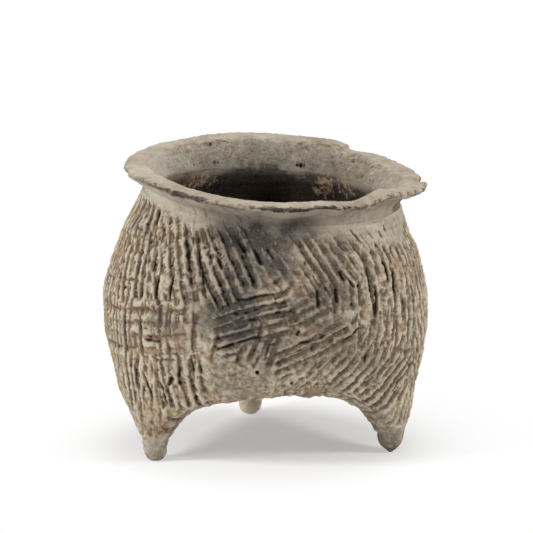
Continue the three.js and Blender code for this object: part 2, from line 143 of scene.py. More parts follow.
def wallRadius(phi, z):
    belly = blendLegs(phi, "belly")
    ankle = blendLegs(phi, "reach") + pot["legEnd"] + pot["legEndMargin"]
    ankleHeight = blendLegs(phi, "nubHeight")
    above = np.clip((pot["shoulderTop"] - z) / (pot["shoulderTop"] - pot["belly"]), 0, 1)
    below = np.clip((z - ankleHeight) / (pot["belly"] - ankleHeight), 0, 1)
    upper = mix(pot["neckRadius"], belly, np.sin(math.pi / 2 * above))
    lower = mix(ankle, belly, np.sin(math.pi / 2 * below) ** pot["legFullness"])
    base = np.where(z > pot["belly"], upper, lower)
    valley = pot["valley"] * smooth((pot["shoulderTop"] - z) / pot["valleyRun"])
    valley = valley + pot["arch"] * np.clip((pot["belly"] - z) / pot["archRun"], 0, 1) ** 1.5
    return base * (1 - valley * seamShare(phi))


def innerRadius(phi, z):
    step = 0.5
    slope = (wallRadius(phi, z + step) - wallRadius(phi, z - step)) / (2 * step)
    return wallRadius(phi, z) - pot["wall"] * np.hypot(1, slope)


def underside(phi, r, top, endRadius, flare, floorOf):
    x, y = r * np.cos(phi), r * np.sin(phi)
    drop = 0 * x
    for leg in legs:
        at = math.radians(leg["azimuth"])
        away = np.hypot(x - leg["reach"] * math.cos(at), y - leg["reach"] * math.sin(at))
        fall = np.exp(-np.maximum(away - endRadius, 0) / flare)
        drop = np.maximum(drop, (top - floorOf(leg)) * fall)
    return top - drop


def outerFloor(phi, r):
    return underside(phi, r, pot["crotch"], pot["legEnd"], pot["legFlare"], lambda leg: leg["nubHeight"])


def innerFloor(phi, r):
    top = pot["crotch"] + pot["wall"]
    return underside(phi, r, top, pot["hollowTip"], pot["hollowFlare"], lambda leg: pot["hollowFloor"])


outerSkin = (wallRadius, outerFloor, lambda phi: mix(pot["legFillet"], pot["archFillet"], seamShare(phi)))
innerSkin = (innerRadius, innerFloor, lambda phi: pot["hollowFillet"] + 0 * phi)
sight = (50.0, 75.0)


def sightAngle(r, z):
    angle = np.arctan2(z - sight[1], r - sight[0])
    return np.where(angle > math.pi / 2, angle - turn, angle)


# The skin below the belly joint, evenly spaced along each meridian
def pouchSkin(skin, phi, top, rows):
    radiusOf, floorOf, filletOf = skin
    start = sightAngle(radiusOf(phi, top + 0 * phi), top)
    end = sightAngle(pot["padRadius"], floorOf(phi, pot["padRadius"] + 0 * phi))
    samples = np.linspace(0, 1, 3 * rows if rows < 100 else rows + 60)[:, None]
    beta = mix(start[None], end[None], samples)
    phiGrid = np.broadcast_to(phi, beta.shape)
    fillet = filletOf(phiGrid)
    near, far = np.zeros(beta.shape), np.full(beta.shape, 120.0)
    for _ in range(22):
        middle = (near + far) / 2
        r, z = sight[0] + middle * np.cos(beta), sight[1] + middle * np.sin(beta)
        outside = roundedMax(floorOf(phiGrid, r) - z, r - radiusOf(phiGrid, z), fillet) > 0
        near, far = np.where(outside, near, middle), np.where(outside, middle, far)
    r, z = sight[0] + near * np.cos(beta), sight[1] + near * np.sin(beta)
    path = np.vstack([np.zeros(len(phi)), np.cumsum(np.hypot(np.diff(r, axis=0), np.diff(z, axis=0)), 0)])
    even = np.linspace(0, 1, rows + 1)
    newR, newZ = np.empty((rows + 1, len(phi))), np.empty((rows + 1, len(phi)))
    for column in range(len(phi)):
        share = path[:, column] / path[-1, column]
        newR[:, column] = np.interp(even, share, r[:, column])
        newZ[:, column] = np.interp(even, share, z[:, column])
    return newR, newZ


def settle(points):
    x, y, z = points[..., 0], points[..., 1], points[..., 2]
    lift = np.maximum((z - sag["start"]) / (rim["height"] - sag["start"]), 0) ** sag["bend"]
    drop = (sag["right"] * x - sag["front"] * y) / rim["radius"]
    toRight = smooth((np.cos(np.arctan2(y, x)) - 0.45) / 0.5)
    pinch = pinched["by"] * toRight * smooth((z - pinched["from"]) / 16) * smooth((pinched["to"] - z) / 7)
    moved = [x - pinch + sag["leanRight"] * lift ** 2, y - sag["leanFront"] * lift ** 2, z - drop * lift]
    return np.stack(moved, -1)


def around(phi, r, z):
    phi, r, z = np.broadcast_arrays(phi, r, z)
    return np.stack([r * np.cos(phi), r * np.sin(phi), z], -1)


# Repeatable noise, from -1 to 1, at points in millimetres
def lattice(cells, seed):
    h = cells[..., 0] * 374761393 + cells[..., 1] * 668265263 + cells[..., 2] * 2147483647
    h = h + seed * 974634777
    h = (h ^ (h >> 13)) * 1274126177
    return ((h ^ (h >> 16)) & 65535) / 32767.5 - 1


def noise(points, size, seed):
    p = points / size
    cell = np.floor(p).astype(np.int64)
    t = p - cell
    t = t * t * (3 - 2 * t)
    total = 0
    for dx in (0, 1):
        for dy in (0, 1):
            for dz in (0, 1):
                weight = (t[..., 0] if dx else 1 - t[..., 0]) * (t[..., 1] if dy else 1 - t[..., 1])
                weight = weight * (t[..., 2] if dz else 1 - t[..., 2])
                total = total + weight * lattice(cell + np.array([dx, dy, dz]), seed)
    return total


def layers(points, size, seed, count=3):
    return sum(noise(points, size / 2 ** i, seed + i) / 2 ** i for i in range(count))


def gridNormals(points, isRound=True):
    down = np.gradient(points, axis=0)
    if isRound:
        across = np.roll(points, -1, 1) - np.roll(points, 1, 1)
    else:
        across = np.gradient(points, axis=1)
    normal = np.cross(down, across)
    return normal / np.maximum(np.linalg.norm(normal, axis=-1, keepdims=True), 1e-9)


# Columns round the pot: each sector between two seams is evenly divided, and seams fall on columns
sectorStarts = [0]
columnList = []
for index, (_, start) in enumerate(seams):
    end = seams[(index + 1) % 3][1] + (360 if index == 2 else 0)
    count = int(round((end - start) * columnsPerDegree * detail))
    columnList.append(np.radians(start + (end - start) * np.arange(count) / count))
    sectorStarts.append(sectorStarts[-1] + count)
azimuths = np.concatenate(columnList)
rowCount = {name: int(round(value * detail)) for name, value in rowsOf.items()}

half = pot["bevel"] / 2


def wallGrid(radiusOf, top, bottom, rows):
    z = np.linspace(top, bottom, rows + 1)[:, None]
    phi = azimuths[None]
    return around(phi, radiusOf(phi + 0 * z, z + 0 * phi), z + 0 * phi)


# The corner under the rim is filled with clay, most of all at the front
def neckFill(phi):
    fromFront = np.abs(degreesFrom(phi, corner["frontAt"]))
    return smooth((corner["reach"] - fromFront) / corner["fade"])


def neckRadius(phi, z):
    allRound = corner["thickness"] * smooth((z - 117) / 6)
    return wallRadius(phi, z) + allRound + corner["atFront"] * neckFill(phi) * smooth((z - 114.5) / 8.3)


neckGrid = wallGrid(neckRadius, pot["neckTop"] - half, pot["neckBottom"] - half, rowCount["neck"])
wallPart = wallGrid(wallRadius, pot["neckBottom"] - half, pot["bellyJoint"] - half, rowCount["wall"])
pouchR, pouchZ = pouchSkin(outerSkin, azimuths, pot["bellyJoint"] - half, rowCount["pouch"])
pouchPart = around(azimuths[None], pouchR, pouchZ)
upright = np.concatenate([neckGrid, wallPart[1:], pouchPart[1:]])
neckRow = rowCount["neck"]
bellyRow = neckRow + rowCount["wall"]
lastRow = bellyRow + rowCount["pouch"]
body = settle(upright)
bodyNormal = gridNormals(body)
print("stage: skin", body.shape)


# Smooth noise from -1 to 1 on a flat pair of coordinates, for marks that lie on the skin
def noiseFlat(a, b, seed):
    a, b = np.broadcast_arrays(a, b)
    cellA, cellB = np.floor(a).astype(np.int64), np.floor(b).astype(np.int64)
    ta, tb = a - cellA, b - cellB
    ta, tb = ta * ta * (3 - 2 * ta), tb * tb * (3 - 2 * tb)
    total = 0
    for da in (0, 1):
        for db in (0, 1):
            cells = np.stack([cellA + da, cellB + db, np.zeros_like(cellA)], -1)
            total = total + (ta if da else 1 - ta) * (tb if db else 1 - tb) * lattice(cells, seed)
    return total


# Distances on the skin: round the pot from an azimuth, and down each meridian from the belly joint
bodyHeight = upright[..., 2]
bodyReach = np.hypot(upright[..., 0], upright[..., 1])
stepDown = np.linalg.norm(np.diff(body, axis=0), axis=-1)
downSkin = np.vstack([np.zeros(body.shape[1]), np.cumsum(stepDown, 0)])
downSkin = downSkin - downSkin[bellyRow]
relief = np.zeros(body.shape[:2])
chance = np.random.default_rng(7)


def rowAt(column, level):
    outside = np.where(bodyNormal[:, column, 2] > -0.5)[0]
    return int(outside[np.argmin(np.abs(bodyHeight[outside, column] - level))])


def columnAt(azimuth):
    return int(np.argmin(np.abs(turnBetween(azimuths, math.radians(azimuth)))))


# Distances along and across a direction on the skin, for the rows and columns near a place
def layOut(row, column, angle, reach):
    rows = np.where(np.abs(downSkin[:, column] - downSkin[row, column]) < reach * 1.25)[0]
    away = turnBetween(azimuths, azimuths[column]) * max(bodyReach[row, column], 30)
    columns = np.where(np.abs(away) < reach * 1.3)[0]
    place = np.ix_(rows, columns)
    across = turnBetween(azimuths[columns], azimuths[column])[None] * bodyReach[place]
    up = downSkin[row, column] - downSkin[place]
    c, s = math.cos(math.radians(angle)), math.sin(math.radians(angle))
    return place, across * c + up * s, up * c - across * s


# One press of a paddle wound with cord: wide troughs with twist marks, narrow beaded ridges between
def pressPaddle(azimuth, level, angle, long, wide, spacing, depth, fan=0.0, seed=1, row=None,
                narrow=1.35, rungs=0.2):
    column = columnAt(azimuth)
    row = rowAt(column, level) if row is None else row
    place, b, a = layOut(row, column, angle, math.hypot(long, wide))
    edge = 2.2 * noiseFlat(a / 6, b / 6, seed + 1)
    ownEnd = 3.4 * noiseFlat(np.floor(a / spacing + 0.37 * seed) * 5.7, np.sign(b) * 3.0, seed + 21)
    cover = smooth((long - np.abs(b) + edge + ownEnd) / 5.5 + 0.75)
    cover = cover * smooth((wide - np.abs(a) + edge) / 4.0 + 0.8)
    a = a / np.maximum(1 + fan * b, 0.3)
    a = a + 0.7 * noiseFlat(a / 14, b / 16, seed + 2) + 0.16 * noiseFlat(a / 4, b / 3.6, seed + 3)
    a = a + 0.17 * noiseFlat(a / 1.6, b / 1.2, seed + 14)
    stripe = a / spacing + 0.37 * seed
    index = np.floor(stripe)
    off = stripe - index - 0.5
    line = index * 7.31 + seed
    off = off + 0.05 * noiseFlat(line, b / 6.0, seed + 4) + 0.04 * noiseFlat(line + 20, b / 1.5, seed + 15)
    across = np.clip(np.abs(off) * 2, 0, 1)
    bite = 0.92 + 0.3 * noiseFlat(line * 3.3, 0 * b, seed + 16) + 0.36 * noiseFlat(line, b / 9, seed + 5)
    bite = np.clip(bite + 0.28 * noiseFlat(line + 40, b / 3.2, seed + 6), 0.08, 1.4)
    trough = -depth * bite * (0.5 + 0.5 * np.cos(math.pi * across ** narrow))
    deepest = 0.14 + 0.12 * noiseFlat(line + 150, b / 9, seed + 11)
    trough = trough - 0.45 * depth * bite * np.exp(-((off - deepest) * spacing / 0.55) ** 2)
    phase = b / 2.3 + 0.5 * off + 1.5 * noiseFlat(line + 60, b / 6, seed + 12)
    phase = phase + 0.5 * noiseFlat(a / 1.2, b / 1.8, seed + 18)
    rung = (0.5 + 0.5 * np.sin(turn * phase)) ** 2 * np.clip(1.2 - across * 1.2, 0, 1)
    rung = rung * np.clip(0.7 + 0.7 * noiseFlat(line + 30, b / 5, seed + 13), 0, 1.3)
    lumpy = noiseFlat(a / 1.5, b / 1.6, seed + 7) + 0.5 * noiseFlat(a / 2.9, b / 2.7, seed + 17)
    trough = trough + depth * (rungs * rung + 0.2 * lumpy)
    dent = np.clip(noiseFlat(line + 90, b / 2.6, seed + 8), 0, 1) * smooth((across - 0.55) / 0.4)
    trough = trough - 0.7 * depth * dent
    broken = np.clip(noiseFlat(line + 70, b / 6.5, seed + 9) * 2.6 - 0.45, 0, 1)
    slitSide = np.where(noiseFlat(line + 120, b / 20, seed + 10) > 0, 0.3, -0.3)
    slit = -0.85 * depth * broken * np.exp(-((off - slitSide) * spacing / 0.42) ** 2)
    pressed = (trough + slit) * cover
    before = relief[place]
    gap = np.clip(0.5 + 0.5 * (pressed - before) / 0.22, 0, 1)
    relief[place] = mix(pressed, before, gap) - 0.22 * gap * (1 - gap)


# The back and the sides, which the photograph doesn't show, were pressed like the front: by height, the
# lean,
# half length, half width, spacing and depth
backRows = {106: (100, 20, 15, 5.0, 0.95), 80: (92, 20, 15, 5.0, 0.88), 55: (96, 18, 15, 5.1, 0.88),
            30: (90, 15, 12, 5.2, 0.6)}
firstSeed = 11
seed = firstSeed
for level, (lean, long, wide, spacing, depth) in backRows.items():
    for azimuth in np.arange(-18, 205, 19.0):
        turned = azimuth + chance.uniform(-4, 4) + (9 if level in (80, 30) else 0)
        angle = lean + 22 * math.sin(math.radians(turned * 2.3 + level * 3)) + chance.uniform(-7, 7)
        pressPaddle(turned, level + chance.uniform(-4, 4), angle, long * chance.uniform(0.9, 1.2),
                    wide * chance.uniform(0.9, 1.15), spacing, depth * chance.uniform(0.8, 1.05), 0.003,
                    seed,
                    None, 1.2, 0.35)
        seed += 1

# The underside was pressed more lightly
for azimuth in range(0, 360, 24):
    column = columnAt(azimuth)
    under = np.where(bodyNormal[:, column, 2] < -0.6)[0]
    for part in (0.25, 0.65):
        row = int(under[int(part * (len(under) - 1))])
        pressPaddle(azimuth, 0, 90 + chance.uniform(-40, 40), 13, 10, 5.2, 0.42, 0, seed, row)
        seed += 1

# The front as the photograph shows it: azimuth, height, angle from level, half length, half width, spacing
# of
# the cords, depth, how much the marks draw together downwards, how narrow the ridges are, height of the
# rungs
frontPresses = [
    (196, 100, 103, 21, 15, 4.6, 1.0, 0.0, 1.6, 0.5), (196, 76, 90, 17, 14, 4.5, 0.9, 0.0, 1.6, 0.5),
    (338, 100, 88, 17, 13, 5.4, 0.85, 0.0), (348, 74, 90, 18, 14, 5.2, 0.85, 0.0),
    (345, 48, 96, 15, 12, 5.2, 0.8, 0.0), (325, 84, 12, 20, 13, 6.4, 0.5, 0.0),
    (330, 62, 18, 18, 10, 6.2, 0.5, 0.0), (216, 68, 90, 14, 15, 4.3, 1.0, 0.0, 1.6, 0.4),
    (238, 69, 94, 13, 12, 4.4, 0.85, 0.0, 1.6, 0.4), (204, 99, 6, 13, 12, 3.9, 0.62, 0.0, 1.0, 0.1),
    (206, 83, 8, 17, 8, 4.2, 0.8, 0.0, 1.0, 0.1), (229, 85, 8, 17, 6, 4.7, 0.6, 0.0, 1.0, 0.1),
    (207, 66, 6, 18, 12, 6.4, 0.72, 0.0, 1.5, 0.3), (231, 67, 7, 17, 12, 6.4, 0.7, 0.0, 1.5, 0.3),
    (213, 101, 109, 22, 12, 4.8, 1.25, 0.0, 1.85, 0.6),
    (232, 101, 116, 21, 15, 4.8, 1.35, 0.0, 1.85, 0.62),
    (251, 104, 122, 20, 11, 4.8, 1.3, 0.0, 1.85, 0.6), (270, 104, 127, 13, 7, 4.6, 0.6, 0.0, 2.2),
    (290, 106, 126, 20, 15, 4.4, 0.82, 0.0, 2.2), (306, 108, 128, 13, 6, 4.5, 0.6, 0.0, 2.2),
    (299, 90, 97, 9, 10, 4.8, 0.95, 0.0, 1.2, 0.3), (318, 92, 94, 17, 11, 5.2, 1.15, 0.0, 1.1, 0.35),
    (312, 74, 84, 14, 12, 5.0, 0.95, 0.0, 1.2, 0.3), (329, 70, 90, 18, 12, 5.0, 0.9, 0.0, 1.2, 0.3),
    (265, 79, 17, 17, 13, 4.8, 1.0, 0.0, 1.9, 0.3), (286, 76, 24, 14, 9, 4.8, 0.8, 0.0, 1.5),
    (287, 63, 24, 19, 8, 4.8, 0.95, 0.0, 1.4), (268, 64, 70, 8, 9, 4.6, 0.85, 0.0),
    (294, 50, 50, 13, 11, 4.8, 0.62, 0.0), (311, 52, 62, 15, 11, 4.6, 0.75, 0.0, 1.1, 0.35),
    (325, 42, 50, 15, 12, 4.7, 0.9, 0.0, 1.1, 0.35), (334, 27, 72, 13, 9, 4.9, 0.5, 0.008, 1.0, 0.4),
    (218, 45, 83, 17, 14, 4.7, 0.85, 0.006, 1.15, 0.35),
    (239, 45, 94, 15, 12, 4.8, 0.95, 0.004, 1.15, 0.35),
    (226, 27, 88, 17, 11, 4.8, 0.55, 0.012, 1.0, 0.4),
]
for azimuth, level, angle, long, wide, spacing, depth, fan, *profile in frontPresses:
    pressPaddle(azimuth, level, angle, long, wide, spacing, depth, fan, seed, None, *profile)
    seed += 1
print("stage: cord presses", seed - firstSeed)

# Wiping and wear: the neck is smoothed, and so are a patch over the arch and the leg ends
wipeEdge = [(212, 13, 3.5), (247, 15, -3.5), (290, 20, -2), (316, 13, -7), (334, 13, -11), (231, 12, -0.5),
            (205, 14, 2.5)]  # azimuth, reach round and rise
wipedFrom = 117.0 + 1.8 * noiseFlat(azimuths * 9, 0 * azimuths, 5)
wipedFrom = wipedFrom + 1.6 * noiseFlat(azimuths * 3, 0 * azimuths, 6)
for at, reach, rise in wipeEdge:
    wipedFrom = wipedFrom + rise * bumpAt(azimuths, at, reach)
wiped = smooth((bodyHeight - wipedFrom[None]) / 6.5)
plainAway = np.hypot(turnBetween(azimuths, math.radians(258))[None] * bodyReach * 0.8, bodyHeight - 48)
ragged = noise(body, 9.0, 15)
wiped = np.maximum(wiped, 0.8 * smooth((13 - plainAway + 4 * ragged) / 8))
legEnd = smooth((19 - bodyHeight + 3 * ragged) / 9)
wiped = np.maximum(wiped, 0.8 * legEnd)
relief *= 1 - 0.95 * wiped

# Deep cuts and slits: azimuth, height, angle, length, depth, half width
cuts = [
    (260.6, 115.5, 125, 14, 1.4, 0.45), (265, 108.6, 119, 12, 2.6, 0.95),
    (258.0, 112.6, 122, 10, 2.6, 1.1), (269.5, 109.5, 119, 8, 1.7, 0.7), (229, 89, 100, 16, 2.2, 0.75),
    (235, 90, 99, 17, 2.2, 0.75), (238.5, 103, 106, 14, 1.8, 0.7), (247, 93, 112, 17, 2.0, 0.75),
    (243, 104, 112, 12, 1.6, 0.7), (224, 100, 103, 15, 1.6, 0.6), (219, 97, 100, 14, 1.5, 0.6),
    (251, 104, 118, 10, 1.8, 0.8), (318.5, 98, 97, 13, 2.2, 0.8), (322, 91, 84, 20, 2.4, 0.9),
    (312, 85, 88, 20, 1.8, 0.75), (288.4, 88, 90, 11, 2.0, 0.9), (296.4, 89, 92, 10, 1.8, 0.75),
    (298.5, 98, 120, 7, 1.7, 0.65), (302, 95, 118, 8, 1.4, 0.6), (326, 76, 92, 18, 1.6, 0.65),
    (333, 84, 92, 12, 1.5, 0.6), (262, 88.5, 12, 11, 1.8, 0.6), (263, 82, 11, 15, 1.6, 0.6),
    (265, 77.4, 6, 8, 1.6, 0.6), (266, 81, 20, 28, 1.2, 0.55), (260, 66, 24, 26, 1.5, 0.7),
    (252.6, 64, 76, 20, 0.9, 0.9), (287, 67.4, 16, 17, 1.6, 0.6), (284, 63, 19, 25, 1.3, 0.55),
    (302, 68, 35, 15, 1.2, 0.5), (267, 66, 72, 13, 1.3, 0.55), (230, 63.5, 8, 12, 1.8, 0.7),
    (271, 64, 66, 14, 1.2, 0.55), (281, 71.5, 50, 3.4, 2.2, 0.9), (267, 51, 20, 2, 1.6, 0.7),
    (280, 42, 120, 2.2, 1.4, 0.7), (307, 116.5, 132, 12, 0.95, 0.55), (311, 115, 133, 9, 0.8, 0.5),
    (315, 117, 128, 7, 0.7, 0.5), (303, 112, 131, 8, 0.75, 0.5), (322, 116, 118, 5, 1.0, 0.6),
    (326, 118, 110, 4, 0.9, 0.6), (333, 115, 88, 7, 0.7, 0.4), (318, 109, 124, 9, 0.85, 0.55),
    (329, 41, 48, 24, 1.7, 0.6), (324, 47, 54, 25, 1.5, 0.55), (310, 57, 79, 12, 1.5, 0.6),
    (257.6, 120, 133, 18, 0.8, 0.4), (252.5, 118, 129, 20, 0.85, 0.4), (244, 119, 116, 20, 0.7, 0.4),
    (267, 119, 133, 14, 0.8, 0.4), (262, 120, 140, 12, 0.5, 0.35), (236, 120, 112, 14, 0.4, 0.35),
    (224, 17, 72, 13, 0.95, 1.3), (240, 48, 84, 14, 1.9, 0.8), (236, 44, 70, 7, 2.0, 0.9),
    (221, 44, 78, 18, 1.7, 0.7), (232.6, 38, 92, 15, 1.7, 0.7), (226, 40, 100, 18, 1.6, 0.7),
    (245, 52, 90, 16, 1.3, 0.6),
]
slitMask = np.zeros(body.shape[:2])


def cutSlit(azimuth, level, angle, length, depth, width):
    column = columnAt(azimuth)
    row = rowAt(column, level)
    place, b, a = layOut(row, column, angle, length * 0.7)
    bend = 0.45 * np.sin(b / 4.3 + azimuth) + 0.3 * noiseFlat(b / 2.2, a * 0, int(azimuth))
    ends = smooth((1 - np.abs(2 * b / length)) / 0.45)
    uneven = 0.75 + 0.35 * noiseFlat(b / 2.5, a * 0, int(level))
    shape = ends * uneven * np.exp(-np.abs((a - bend) / (width * (0.55 + 0.6 * uneven))) ** 1.8)
    cut = -depth * shape
    relief[place] = np.where(cut < -0.08, np.minimum(relief[place], relief[place] * 0.45 + cut),
                             relief[place])
    slitMask[place] = np.maximum(slitMask[place], shape * min(max(depth - 0.6, 0), 1.2))


for cut in cuts:
    cutSlit(*cut)

# Thin scratches from under the lip down over the neck: azimuth and height at the top, then at the foot
scratches = [(250, 132, 260, 118.3), (256, 131, 260.5, 124), (243.7, 131.5, 246.8, 125),
             (231.8, 131, 236, 121),
             (238, 129, 241, 122)]


def scratchesAt(phi, z):
    total = 0 * (phi + z)
    for fromAt, fromLevel, toAt, toLevel in scratches:
        along = (z - fromLevel) / (toLevel - fromLevel)
        aside = degreesFrom(phi, fromAt) - (toAt - fromAt) * along
        aside = aside + 0.3 * noiseFlat(z / 2.1, 0 * z, int(fromAt))
        reach = smooth(along / 0.12) * smooth((1 - along) / 0.2)
        total = np.maximum(total, reach * np.exp(-(aside / 0.38) ** 2))
    return total


skinScratch = scratchesAt(azimuths[None], bodyHeight) * (bodyNormal[..., 2] > -0.5)
relief -= 0.4 * skinScratch

# The folded layer of clay along the arches: a ragged crack a little above the edge
aboveArch = np.zeros(body.shape[:2])
for column in range(body.shape[1]):
    edgeRow = int(np.argmax(bodyNormal[:, column, 2] < -0.78)) or lastRow
    aboveArch[:, column] = downSkin[:, column] - downSkin[edgeRow, column]
crackAt = -1.2 + 0.9 * noiseFlat(azimuths * 6, 0 * azimuths, 18)
crackAt = crackAt + 0.5 * noiseFlat(azimuths * 22, 0 * azimuths, 19)
opened = np.clip(0.35 + 0.9 * noiseFlat(azimuths * 5, 0 * azimuths, 20), 0, 1)
for away, share in ((1, 0.6), (2.6, 0.3)):
    line = aboveArch - crackAt[None] * away
    crack = -0.8 * share * opened[None] * np.exp(-(line / 0.5) ** 2)
    relief += crack + 0.35 * share * opened[None] * np.exp(-((line - 1.1) / 0.9) ** 2)

# Finger wiping on the neck, uneven clay, and pits where sand grains fell out
wavyHeight = bodyHeight + 1.2 * noise(body, 30.0, 31)
bands = np.sin(wavyHeight * 2.4 + 9 * turnBetween(azimuths, 0)[None] * 0.2) * 0.05
bands = bands * smooth((bodyHeight - 112) / 6)
lumps = 0.7 * layers(body, 26.0, 11, 2) + 0.34 * layers(body, 8.0, 17, 2)
grit = 0.2 * noise(body, 3.3, 21) + 0.3 * noise(body, 1.75, 23) + 0.3 * noise(body, 1.0, 29)
grit = grit * (1 - 0.62 * wiped * smooth((bodyHeight - 100) / 10))
grit = grit + legEnd * (0.35 * noise(body, 3.6, 33) + 0.3 * noise(body, 1.6, 34))
pits = np.zeros(body.shape[:2])
pitCount = 520
for _ in range(pitCount):
    row, column = chance.integers(4, lastRow - 4), chance.integers(0, body.shape[1])
    size, deep = chance.uniform(0.45, 1.0), chance.uniform(0.3, 0.9)
    place, b, a = layOut(row, column, chance.uniform(0, 180), 2.6 * size)
    pits[place] -= deep * np.exp(-((a / size) ** 2 + (b / size / 1.5) ** 2))
fadeTop = smooth(np.arange(body.shape[0]) / (5 * detail))[:, None]
fadePad = smooth((body.shape[0] - 1 - np.arange(body.shape[0])) / (8 * detail))[:, None]
height = (relief + bands + lumps + grit + pits) * fadeTop * fadePad
height *= 1 - 0.9 * smooth((12.5 - bodyHeight) / 3)
shaped = body + bodyNormal * height[..., None]
shapedNormal = gridNormals(shaped)


# A soft copy of the heights; what lies above it is a ridge, painted lighter as worn clay and painted
# highlight, and what lies below it is painted darker as dirt and painted shade
def softened(values, rowsWide, columnsWide):
    out = values
    for _ in range(2):
        padded = np.concatenate([out[:, -columnsWide:], out, out[:, :columnsWide]], 1)
        total = np.cumsum(np.concatenate([np.zeros((out.shape[0], 1)), padded], 1), 1)
        window = 2 * columnsWide + 1
        out = (total[:, window:] - total[:, :-window]) / window
        padded = np.concatenate([np.repeat(out[:1], rowsWide, 0), out, np.repeat(out[-1:], rowsWide, 0)], 0)
        total = np.cumsum(np.concatenate([np.zeros((1, out.shape[1])), padded], 0), 0)
        window = 2 * rowsWide + 1
        out = (total[window:] - total[:-window]) / window
    return out


wideSteps = max(1, int(round(4 * detail)))
# Hollows, pits, scratches and cut slits get low values here, which the clay colours paint darker as painted
# shade, down to near black in the slits
standing = height - softened(height, wideSteps, wideSteps) + 0.25 * np.clip(relief, -1.2, 0) + 0.12
standing = standing - 0.8 * slitMask
print("stage: relief", round(float(relief.min()), 2), round(float(relief.max()), 2))

slotOf = {}


# Quads between the rows of a grid; a grid that goes all round joins its last column to the first
def gridQuads(rows, columns, steps):
    column = np.arange(steps)
    nextColumn = (column + 1) % columns
    row = np.arange(rows - 1)[:, None] * columns
    below = row + columns
    quads = np.stack([row + column, below + column, below + nextColumn, row + nextColumn], -1)
    return quads.reshape(-1, 4)


# A closed mesh between an outer and an inner grid, with point attributes from both
def makeShell(name, outer, inner, isRound, attributes, slot, nodes, normals=None):
    grids = [outer, inner]
    columns = outer.shape[1]
    steps = columns if isRound else columns - 1
    offset = [0, outer.shape[0] * columns]
    vertices = np.concatenate([outer.reshape(-1, 3), inner.reshape(-1, 3)]) + axisShift
    faces = []
    column = np.arange(steps)
    nextColumn = (column + 1) % columns
    for which, grid in enumerate(grids):
        quads = gridQuads(grid.shape[0], columns, steps) + offset[which]
        faces.append(quads[:, ::-1 if which else 1])
    lastOuter = (outer.shape[0] - 1) * columns
    lastInner = offset[1] + (inner.shape[0] - 1) * columns
    faces.append(np.stack([nextColumn, offset[1] + nextColumn, offset[1] + column, column], -1))
    ends = [lastOuter + column, lastInner + column, lastInner + nextColumn, lastOuter + nextColumn]
    faces.append(np.stack(ends, -1))
    if not isRound:
        faces += sideFaces(outer, inner, columns, offset[1])
    return makeMesh(name, vertices, np.concatenate(faces), attributes, slot, nodes, normals)


# The two cut sides of a shell that doesn't go all round; the grids may differ in rows
def sideFaces(outer, inner, columns, innerOffset):
    out = []
    rowsOut, rowsIn = outer.shape[0], inner.shape[0]
    for side in (0, columns - 1):
        i = j = 0
        while i < rowsOut - 1 or j < rowsIn - 1:
            a, b = i * columns + side, innerOffset + j * columns + side
            if j == rowsIn - 1 or (i < rowsOut - 1 and (i + 1) / (rowsOut - 1) <= (j + 1) / (rowsIn - 1)):
                face = [a, b, a + columns, a + columns]
                i += 1
            else:
                face = [a, b, b + columns, b + columns]
                j += 1
            out.append(face if side == 0 else face[::-1])
    return [np.array(out)]


def makeMesh(name, vertices, faces, attributes, slot, nodes, normals=None):
    isTriangle = (faces[:, 2] == faces[:, 3]) | (faces[:, 0] == faces[:, 1])
    quads = faces[~isTriangle]
    triangles = faces[isTriangle]
    startsDouble = (triangles[:, 0] == triangles[:, 1])[:, None]
    triangles = np.where(startsDouble, triangles[:, [1, 2, 3, 3]], triangles)[:, :3]
    mesh = bpy.data.meshes.new(name)
    mesh.vertices.add(len(vertices))
    mesh.vertices.foreach_set("co", (vertices * metre).astype(np.float32).ravel())
    loops = np.concatenate([quads.ravel(), triangles.ravel()]).astype(np.int32)
    mesh.loops.add(len(loops))
    mesh.loops.foreach_set("vertex_index", loops)
    starts = np.concatenate([np.arange(len(quads)) * 4, len(quads) * 4 + np.arange(len(triangles)) * 3])
    mesh.polygons.add(len(quads) + len(triangles))
    mesh.polygons.foreach_set("loop_start", starts.astype(np.int32))
    mesh.update(calc_edges=True)
    mesh.polygons.foreach_set("use_smooth", np.ones(len(mesh.polygons), bool))
    for label, values in attributes.items():
        layer = mesh.attributes.new(label, "FLOAT", "POINT")
        layer.data.foreach_set("value", values.astype(np.float32).ravel())
    if signedVolume(vertices, faces) < 0:
        mesh.flip_normals()
    if normals is not None:  # the whole skin's own slopes, so that no line shows where pieces meet
        mesh.normals_split_custom_set_from_vertices(normals.reshape(-1, 3).astype(np.float32))
    piece = bpy.data.objects.new(name, mesh)
    bpy.context.scene.collection.objects.link(piece)
    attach(piece, "root")
    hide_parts(*nodes)
    slotOf[piece.name] = slot
    return piece


def signedVolume(vertices, faces):
    a, b, c, d = (vertices[faces[:, i]] for i in range(4))
    first = np.einsum("ij,ij->i", a, np.cross(b, c)).sum()
    return first + np.einsum("ij,ij->i", a, np.cross(c, d)).sum()


# Where smoke and ochre crust lie, by place on the pot: azimuth, height, reach round, reach up, strength
sootPlaces = [
    (262, 118.5, 27, 13, 1.15), (276, 118.5, 20, 11, 1.0), (268, 114, 22, 14, 0.95),
    (266, 102, 24, 16, 1.0), (264, 82, 24, 18, 1.0), (287, 84, 24, 20, 0.7), (233, 74, 8, 9, 0.6),
    (250, 92, 18, 18, 0.5), (288, 106, 22, 14, 0.55), (275, 66, 24, 16, 0.75), (300, 60, 24, 16, 0.5),
    (262, 52, 18, 12, 0.25), (98, 70, 30, 22, 0.6), (30, 60, 26, 20, 0.4), (320, 45, 16, 14, 0.2),
    (180, 60, 26, 20, 0.35),
]
ochrePlaces = [
    (231, 122, 8, 4, 0.3), (262, 98, 10, 7, 0.2), (240, 38, 16, 10, 0.3), (300, 70, 14, 12, 0.2),
    (226, 20, 8, 9, 0.3), (255, 44, 20, 8, 0.35), (212, 60, 14, 12, 0.22), (120, 90, 14, 12, 0.5),
    (20, 100, 12, 10, 0.4),
]


